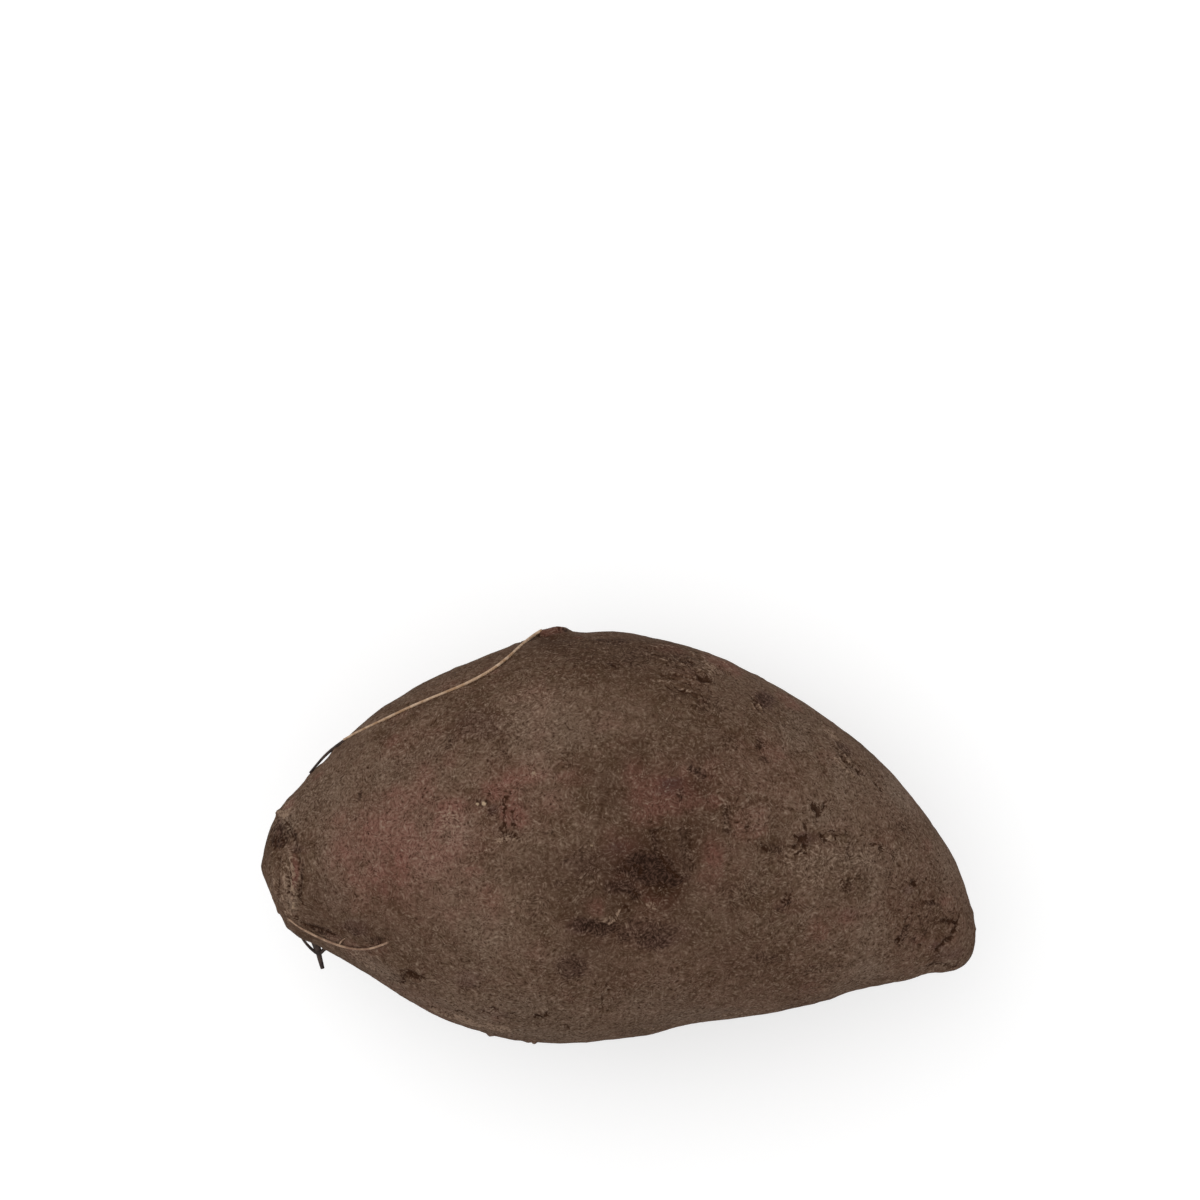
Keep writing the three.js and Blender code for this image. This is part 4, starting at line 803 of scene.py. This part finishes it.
def sink_creases(relief, cracks, fine, tree):
    """Creases with raised lips, darkened with earth and painted shade. Their darkness falls evenly with
    distance, to a half at the edge.
    """
    for side, creases in CREASES.items():
        for route, half_width, depth, darkness in creases:
            distance = path_distance(fine, tree, route, side) / half_width
            dent(relief, distance, depth, CREASE_LIPS)
            np.maximum(cracks, (1 - 0.5 * distance) * (0.35 + 0.65 * darkness), out=cracks)


def raise_ridges(relief, masks, fine, tree):
    """Corky ridges, which part the scurf."""
    for side, ridges in RIDGES.items():
        for route, half_width, height, paleness in ridges:
            distance = path_distance(fine, tree, route, side) / half_width
            relief += height * hill(distance)
            masks["cork"] = np.maximum(masks["cork"], paleness * fade(distance, *CORK_EDGE))
            masks["scurf"] *= 1 - 0.8 * fade(distance, *GAP_EDGE)


def sculpt(skin):
    """The skin's own roughness and its marks, and the masks that colour them."""
    noise.seed_set(NOISE_SEED)
    tree = faces_tree(skin)
    refine(skin, tree)
    smooth_points = positions(skin)
    outward = normals_of(skin)
    broad, fine = (jostle(smooth_points, pushes) for pushes in (BROAD_PUSHES, FINE_PUSHES))

    relief = sum(height * mottle(smooth_points, width, shift) for height, width, shift in ROUGHNESS)
    masks = make_masks(broad, fine, tree)
    masks["crack"] = np.zeros(len(smooth_points))
    relief += SAP_HEIGHT * masks["sap"]
    add_lumps(relief, broad, tree)
    sink_pits(relief, masks["crack"], fine, tree)
    sink_creases(relief, masks["crack"], fine, tree)
    raise_ridges(relief, masks, fine, tree)

    # Scurf is a broken crust, and cork is rough.
    crust = mottle(smooth_points, CRUST_WIDTH, 31)
    relief += SCURF_HEIGHT * masks["scurf"] * crust + CORK_HEIGHT * masks["cork"] * np.abs(crust)

    points = smooth_points + outward * relief[:, None]
    points[:, 2] = np.maximum(points[:, 2], 0)
    place(skin, points)
    for name, values in masks.items():
        layer = skin.data.attributes.new(name, "FLOAT", "POINT")
        layer.data.foreach_set("value", values.astype(np.float32))
    only(skin)
    bpy.ops.object.shade_smooth()


# ---- rootlets ----------------------------------------------------------------------------------------------

def strand_curve(name, points, first_radius, last_radius):
    """A round fibre along points in millimetres, whose radius changes evenly from start to end."""
    curve = bpy.data.curves.new(name, "CURVE")
    curve.dimensions = "3D"
    curve.bevel_depth = 1.0
    curve.bevel_resolution = 3
    curve.use_fill_caps = True
    curve.resolution_u = 10
    spline = curve.splines.new("NURBS")
    spline.points.add(len(points) - 1)
    spline.order_u = min(4, len(points))
    spline.use_endpoint_u = True
    for i, (knot, point) in enumerate(zip(spline.points, points)):
        share = i / (len(points) - 1)
        knot.co = (*(Vector(point) * MM), 1)
        knot.radius = (first_radius + (last_radius - first_radius) * share) * MM
    strand = bpy.data.objects.new(name, curve)
    bpy.context.scene.collection.objects.link(strand)
    return strand


def rootlet(name, strands):
    """One piece of mesh from its strands, each with its points and its radius at its start and its end."""
    parts = [strand_curve(name, *strand) for strand in strands]
    bpy.ops.object.select_all(action="DESELECT")
    for part in parts:
        part.select_set(True)
    bpy.context.view_layer.objects.active = parts[0]
    bpy.ops.object.convert(target="MESH")
    if len(parts) > 1:
        bpy.ops.object.join()
    piece = bpy.context.object
    piece.name = piece.data.name = name
    bpy.ops.object.shade_smooth()
    return piece


def in_space(tree, points, where):
    """A strand's points in space, from heights above END_HEIGHT where it hangs, and else off the skin."""
    if where == "hanging":
        return [Vector((x, y, z + END_HEIGHT)) for x, y, z in points]
    feet = [on_skin(tree, x, y, where) for x, y, _ in points]
    return [foot + tree.find_nearest(foot)[1] * point[2] for foot, point in zip(feet, points)]


def make_rootlets(tree, finishes):
    """Every piece in ROOTLETS, each in its finish."""
    pieces = []
    for name, (finish, where, strands) in ROOTLETS.items():
        placed = [(in_space(tree, points, where), first, last) for points, first, last in strands]
        piece = rootlet(name, placed)
        piece.data.materials.append(finishes[finish])
        pieces.append(piece)
    return pieces


# ---- materials ---------------------------------------------------------------------------------------------

def srgb(red, green, blue):
    """A colour given in everyday 0 to 255 steps, as Blender's linear one."""
    def linear(value):
        value /= 255
        return value / 12.92 if value <= 0.04045 else ((value + 0.055) / 1.055) ** 2.4
    return (linear(red), linear(green), linear(blue), 1)


# The skin's colours.
DARK_EARTH = srgb(83, 62, 47)
PALE_EARTH = srgb(106, 84, 69)
ROSY_SKIN = srgb(116, 78, 67)
REDDER_SKIN = srgb(118, 76, 70)
GREENER_SKIN = srgb(82, 74, 48)
BRUISED_SKIN = srgb(80, 55, 52)
# Darker and lighter skin, which also serve as painted shade and painted light.
DARKER_SKIN_AND_PAINTED_SHADE = srgb(60, 39, 26)
LIGHTER_SKIN_AND_PAINTED_LIGHT = srgb(123, 103, 88)
TAN_CORK = srgb(138, 114, 96)
PALE_THREADS = srgb(157, 136, 119)
DARK_GAPS = srgb(44, 22, 6)
DARK_CRUST = srgb(36, 22, 15)
PALE_CRUST = srgb(78, 56, 46)
# Dark earth in cracks and pits, which also serves as painted shade there.
CRACK_EARTH_AND_SHADE = srgb(50, 29, 16)
DRIED_SAP = srgb(176, 152, 126)


class Nodes:
    """A node tree's nodes, added with their values and links in one call each."""

    def __init__(self, tree, place=None):
        self.tree = tree
        self.place = place or self.add("ShaderNodeTexCoord").outputs["Object"]

    def add(self, kind, inputs=None, **settings):
        """A node with these settings, and with a value or a link for each named input."""
        node = self.tree.nodes.new(kind)
        for key, value in settings.items():
            setattr(node, key, value)
        for key, value in (inputs or {}).items():
            self.feed(node.inputs[key], value)
        return node

    def feed(self, socket, value):
        """Links a socket to another one, or gives it a plain value."""
        if isinstance(value, bpy.types.NodeSocket):
            self.tree.links.new(value, socket)
        else:
            socket.default_value = value

    def noise(self, width, detail=3.0, roughness=0.55, distortion=0.0, at=None):
        """Noise whose lumps are about width millimetres across, mostly from -1 to 1."""
        inputs = {
            "Vector": at or self.place, "Scale": 1 / (width * MM), "Detail": detail,
            "Roughness": roughness, "Distortion": distortion,
        }
        return self.math("MULTIPLY_ADD", self.add("ShaderNodeTexNoise", inputs).outputs["Fac"], 5.0, -2.5)

    def swirled(self, width, distance):
        """The place, pushed about in swirls of this width by up to half of this distance."""
        inputs = {"Vector": self.place, "Scale": 1 / (width * MM), "Detail": 0.0}
        swirl = self.add("ShaderNodeTexNoise", inputs).outputs["Color"]
        inputs = {0: swirl, 1: (distance * MM,) * 3, 2: self.place}
        return self.add("ShaderNodeVectorMath", inputs, operation="MULTIPLY_ADD").outputs[0]

    def mask(self, name):
        """One of the skin's own masks."""
        return self.add("ShaderNodeAttribute", attribute_name=name).outputs["Fac"]

    def math(self, operation, *values, clamp=False):
        """What one operation makes of these values, held from 0 to 1 with clamp."""
        inputs = dict(enumerate(values))
        return self.add("ShaderNodeMath", inputs, operation=operation, use_clamp=clamp).outputs[0]

    def plus(self, first, second, times):
        """The first value, and the second one so many times."""
        return self.math("MULTIPLY_ADD", second, times, first)

    def share(self, value, times):
        """A value so many times, held from 0 to 1."""
        return self.math("MULTIPLY", value, times, clamp=True)

    def between(self, value, low, high, to_low=0.0, to_high=1.0):
        """A value's share of the way from low to high, held within it, as to_low to to_high."""
        inputs = {"Value": value, "From Min": low, "From Max": high, "To Min": to_low, "To Max": to_high}
        return self.add("ShaderNodeMapRange", inputs, interpolation_type="SMOOTHSTEP").outputs["Result"]

    def blend(self, share, first, second):
        """The first colour, with this share of the second one mixed in."""
        node = self.add("ShaderNodeMix", data_type="RGBA")
        self.feed(node.inputs["Factor"], share)
        ends = [socket for socket in node.inputs if socket.type == "RGBA"]
        self.feed(ends[0], first)
        self.feed(ends[1], second)
        return next(socket for socket in node.outputs if socket.type == "RGBA")


def new_material(name):
    """A material, its nodes and the inputs of its shader."""
    material = bpy.data.materials.new(name)
    material.use_nodes = True
    tree = material.node_tree
    return material, Nodes(tree), tree.nodes["Principled BSDF"].inputs


def skin_colour(nodes, clouds, crumbs, specks):
    """Earth on rosy skin, redder or greener from place to place, with bruises, cork, and lighter and darker
    patches that are partly the skin's own and partly painted light and shade.
    """
    blotches = nodes.noise(3.2, 3, 0.6)
    hues = nodes.noise(2, 4, 0.7)
    tone_and_shading = nodes.mask("tone_and_shading")
    cover = nodes.between(nodes.plus(clouds, blotches, 0.7), -1, 1)
    colour = nodes.blend(cover, DARK_EARTH, PALE_EARTH)
    patches = nodes.plus(nodes.plus(1.6, blotches, 0.8), specks, 0.4)
    colour = nodes.blend(nodes.share(nodes.mask("rosy"), patches), colour, ROSY_SKIN)
    colour = nodes.blend(nodes.share(hues, 0.11), colour, REDDER_SKIN)
    colour = nodes.blend(nodes.share(hues, -0.11), colour, GREENER_SKIN)
    patches = nodes.plus(0.8, crumbs, 0.3)
    colour = nodes.blend(nodes.share(nodes.mask("bruise"), patches), colour, BRUISED_SKIN)
    # This mask blends in darker and lighter skin: partly the skin's own patches, partly painted shade and
    # painted light.
    colour = nodes.blend(nodes.share(tone_and_shading, -0.62), colour, DARKER_SKIN_AND_PAINTED_SHADE)
    colour = nodes.blend(nodes.share(tone_and_shading, 0.6), colour, LIGHTER_SKIN_AND_PAINTED_LIGHT)
    corky = nodes.between(nodes.plus(nodes.mask("cork"), crumbs, 0.3), 0.2, 0.9)
    return nodes.blend(corky, colour, TAN_CORK)


def skin_grain(nodes, crumbs):
    """How pale or dark each crumb of the grain is. It is fainter where the skin is darker, painted shade
    included, and coarser where grit is.
    """
    strength = nodes.between(nodes.mask("tone_and_shading"), -1, 0.8, 0.74, 1.24)
    strength = nodes.math("MULTIPLY", strength, nodes.plus(1, nodes.mask("grit"), 0.2))
    return nodes.math("MULTIPLY", crumbs, strength)


def skin_crusts(nodes, colour, crumbs):
    """This colour under scurf's crust, earth and painted shade in pits and cracks, and drops of dried sap."""
    crust = nodes.blend(nodes.between(crumbs, -1, 1.4), DARK_CRUST, PALE_CRUST)
    crusted = nodes.between(nodes.plus(nodes.mask("scurf"), crumbs, -0.16), 0.05, 0.95, 0, 0.94)
    colour = nodes.blend(crusted, colour, crust)
    # Pits and cracks darken with earth and painted shade.
    cracked = nodes.between(nodes.plus(nodes.mask("crack"), crumbs, -0.22), 0.22, 0.78, 0, 0.85)
    colour = nodes.blend(cracked, colour, CRACK_EARTH_AND_SHADE)
    return nodes.blend(nodes.between(nodes.mask("sap"), 0.15, 0.85), colour, DRIED_SAP)


def skin_material():
    """Thin earth over rosy brown skin, with dark scurf, purple bruises, tan cork and a fine fibrous grain."""
    material, nodes, shader = new_material("earthy skin")
    clouds = nodes.noise(12, 3)
    specks = nodes.noise(0.9, 2.5, 0.6, 0.5)
    dust = nodes.noise(0.5, 1)
    strokes = nodes.noise(0.44, 0, at=nodes.swirled(2.4, 3.0))
    crumbs = nodes.plus(nodes.plus(nodes.math("MULTIPLY", strokes, 0.64), specks, 0.78), dust, 0.5)

    # The grain is pale threads with dark gaps, each about a quarter of a millimetre wide.
    grain = skin_grain(nodes, crumbs)
    colour = skin_colour(nodes, clouds, crumbs, specks)
    colour = nodes.blend(nodes.share(grain, 0.23), colour, PALE_THREADS)
    colour = nodes.blend(nodes.share(grain, -0.385), colour, DARK_GAPS)
    nodes.feed(shader["Base Color"], skin_crusts(nodes, colour, crumbs))
    shader["Specular IOR Level"].default_value = 0.04
    nodes.feed(shader["Roughness"], nodes.between(clouds, -1, 1, 0.8, 0.95))
    height = nodes.math("MULTIPLY", grain, 0.4)
    bump = nodes.add("ShaderNodeBump", {"Height": height, "Strength": 0.7, "Distance": 0.2 * MM})
    nodes.feed(shader["Normal"], bump.outputs["Normal"])
    return material


def fibre_group():
    """Dried fibre, shared by the rootlets' materials: streaks of two tones, and a rough bark."""
    tree = bpy.data.node_groups.new("dried fibre", "ShaderNodeTree")
    for name, kind in (("Place", "Vector"), ("Pale", "Color"), ("Deep", "Color")):
        tree.interface.new_socket(name=name, in_out="INPUT", socket_type="NodeSocket" + kind)
    for name, kind in (("Color", "Color"), ("Bark", "Float")):
        tree.interface.new_socket(name=name, in_out="OUTPUT", socket_type="NodeSocket" + kind)
    given = tree.nodes.new("NodeGroupInput").outputs
    nodes = Nodes(tree, given["Place"])
    streaks = nodes.between(nodes.noise(1.6, 3, 0.6, 0.5), -0.8, 0.8)
    colour = nodes.blend(streaks, given["Pale"], given["Deep"])
    nodes.add("NodeGroupOutput", {"Color": colour, "Bark": nodes.noise(0.35, 2)})
    return tree


def rootlet_material(name, fibre, pale, deep):
    """Dried fibre in two tones."""
    material, nodes, shader = new_material(name)
    inputs = {"Place": nodes.place, "Pale": pale, "Deep": deep}
    strand = nodes.add("ShaderNodeGroup", inputs, node_tree=fibre).outputs
    nodes.feed(shader["Base Color"], strand["Color"])
    shader["Roughness"].default_value = 0.8
    shader["Specular IOR Level"].default_value = 0.3
    bump = nodes.add("ShaderNodeBump", {"Height": strand["Bark"], "Strength": 0.7, "Distance": 0.05 * MM})
    nodes.feed(shader["Normal"], bump.outputs["Normal"])
    return material


def rootlet_materials():
    """The rootlets' finishes, by the names that ROOTLETS uses."""
    fibre = fibre_group()
    return {
        "tan": rootlet_material("dried tan fibre", fibre, srgb(196, 168, 142), srgb(158, 124, 94)),
        "pink": rootlet_material("dried pink fibre", fibre, srgb(174, 144, 120), srgb(128, 98, 79)),
        "brown": rootlet_material("dried brown fibre", fibre, srgb(124, 98, 76), srgb(92, 70, 54)),
        # Dark fibre for the dark tuft, which the rootlet's end wears as painted shade.
        "dark_and_shaded": rootlet_material("dark fibre and painted shade", fibre, srgb(76, 62, 56), srgb(48, 38, 36)),
    }


# ---- the studio --------------------------------------------------------------------------------------------

def paper_material():
    """Pale paper, lifted to white for the camera only, so that the root's shadow stays on it."""
    material, nodes, shader = new_material("white paper")
    shader["Base Color"].default_value = (0.65, 0.65, 0.65, 1)
    shader["Roughness"].default_value = 1.0
    shader["Specular IOR Level"].default_value = 0.0
    path = nodes.add("ShaderNodeLightPath").outputs
    seen = nodes.math("MAXIMUM", path["Is Camera Ray"], path["Is Glossy Ray"])
    seen = nodes.math("MAXIMUM", seen, path["Is Transmission Ray"])
    shader["Emission Color"].default_value = (1, 1, 1, 1)
    nodes.feed(shader["Emission Strength"], nodes.math("MULTIPLY", seen, 0.5))
    return material


def make_floor():
    """A wide paper floor."""
    bpy.ops.object.select_all(action="DESELECT")
    bpy.ops.mesh.primitive_plane_add(size=6)
    floor = bpy.context.object
    floor.name = "floor"
    floor.data.materials.append(paper_material())


def make_sky():
    """An even sky, white to the camera and a little dimmer as a light."""
    world = bpy.data.worlds.new("even sky")
    bpy.context.scene.world = world
    world.use_nodes = True
    nodes, links = world.node_tree.nodes, world.node_tree.links
    sky = nodes["Background"]
    sky.inputs["Color"].default_value = (1, 1, 1, 1)
    path = nodes.new("ShaderNodeLightPath").outputs["Is Camera Ray"]
    strength = nodes.new("ShaderNodeMapRange")
    strength.inputs["To Min"].default_value = 0.72
    strength.inputs["To Max"].default_value = 1.0
    links.new(path, strength.inputs["Value"])
    links.new(strength.outputs["Result"], sky.inputs["Strength"])


def make_lamp():
    """One wide soft lamp."""
    bpy.ops.object.light_add(type="AREA", location=(-0.35, 0.3, 0.9))
    lamp = bpy.context.object
    lamp.name = "soft lamp"
    lamp.data.size = 0.9
    lamp.data.energy = 3.0
    lamp.rotation_euler = (Vector((0, 0, 0.03)) - lamp.location).to_track_quat("-Z", "Y").to_euler()


def make_camera():
    """Straight above, with the root in the lower half of the view."""
    camera = bpy.data.objects.new("camera", bpy.data.cameras.new("camera"))
    bpy.context.scene.collection.objects.link(camera)
    camera.data.sensor_width = 36
    camera.data.lens = 135
    camera.location = Vector(EYES["above"]) * MM
    camera.data.clip_start, camera.data.clip_end = 0.01, 20
    bpy.context.scene.camera = camera
    bpy.context.scene.view_settings.view_transform = "Standard"


# ---- putting it together -----------------------------------------------------------------------------------

make_camera()
make_floor()
make_sky()
make_lamp()
skin = drape_on_solid(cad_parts["tuber"])
sculpt(skin)
skin.data.materials.append(skin_material())

rootlets = make_rootlets(faces_tree(skin), rootlet_materials())
for piece in [skin, *rootlets]:
    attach(piece, "root")
    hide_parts("tuber")
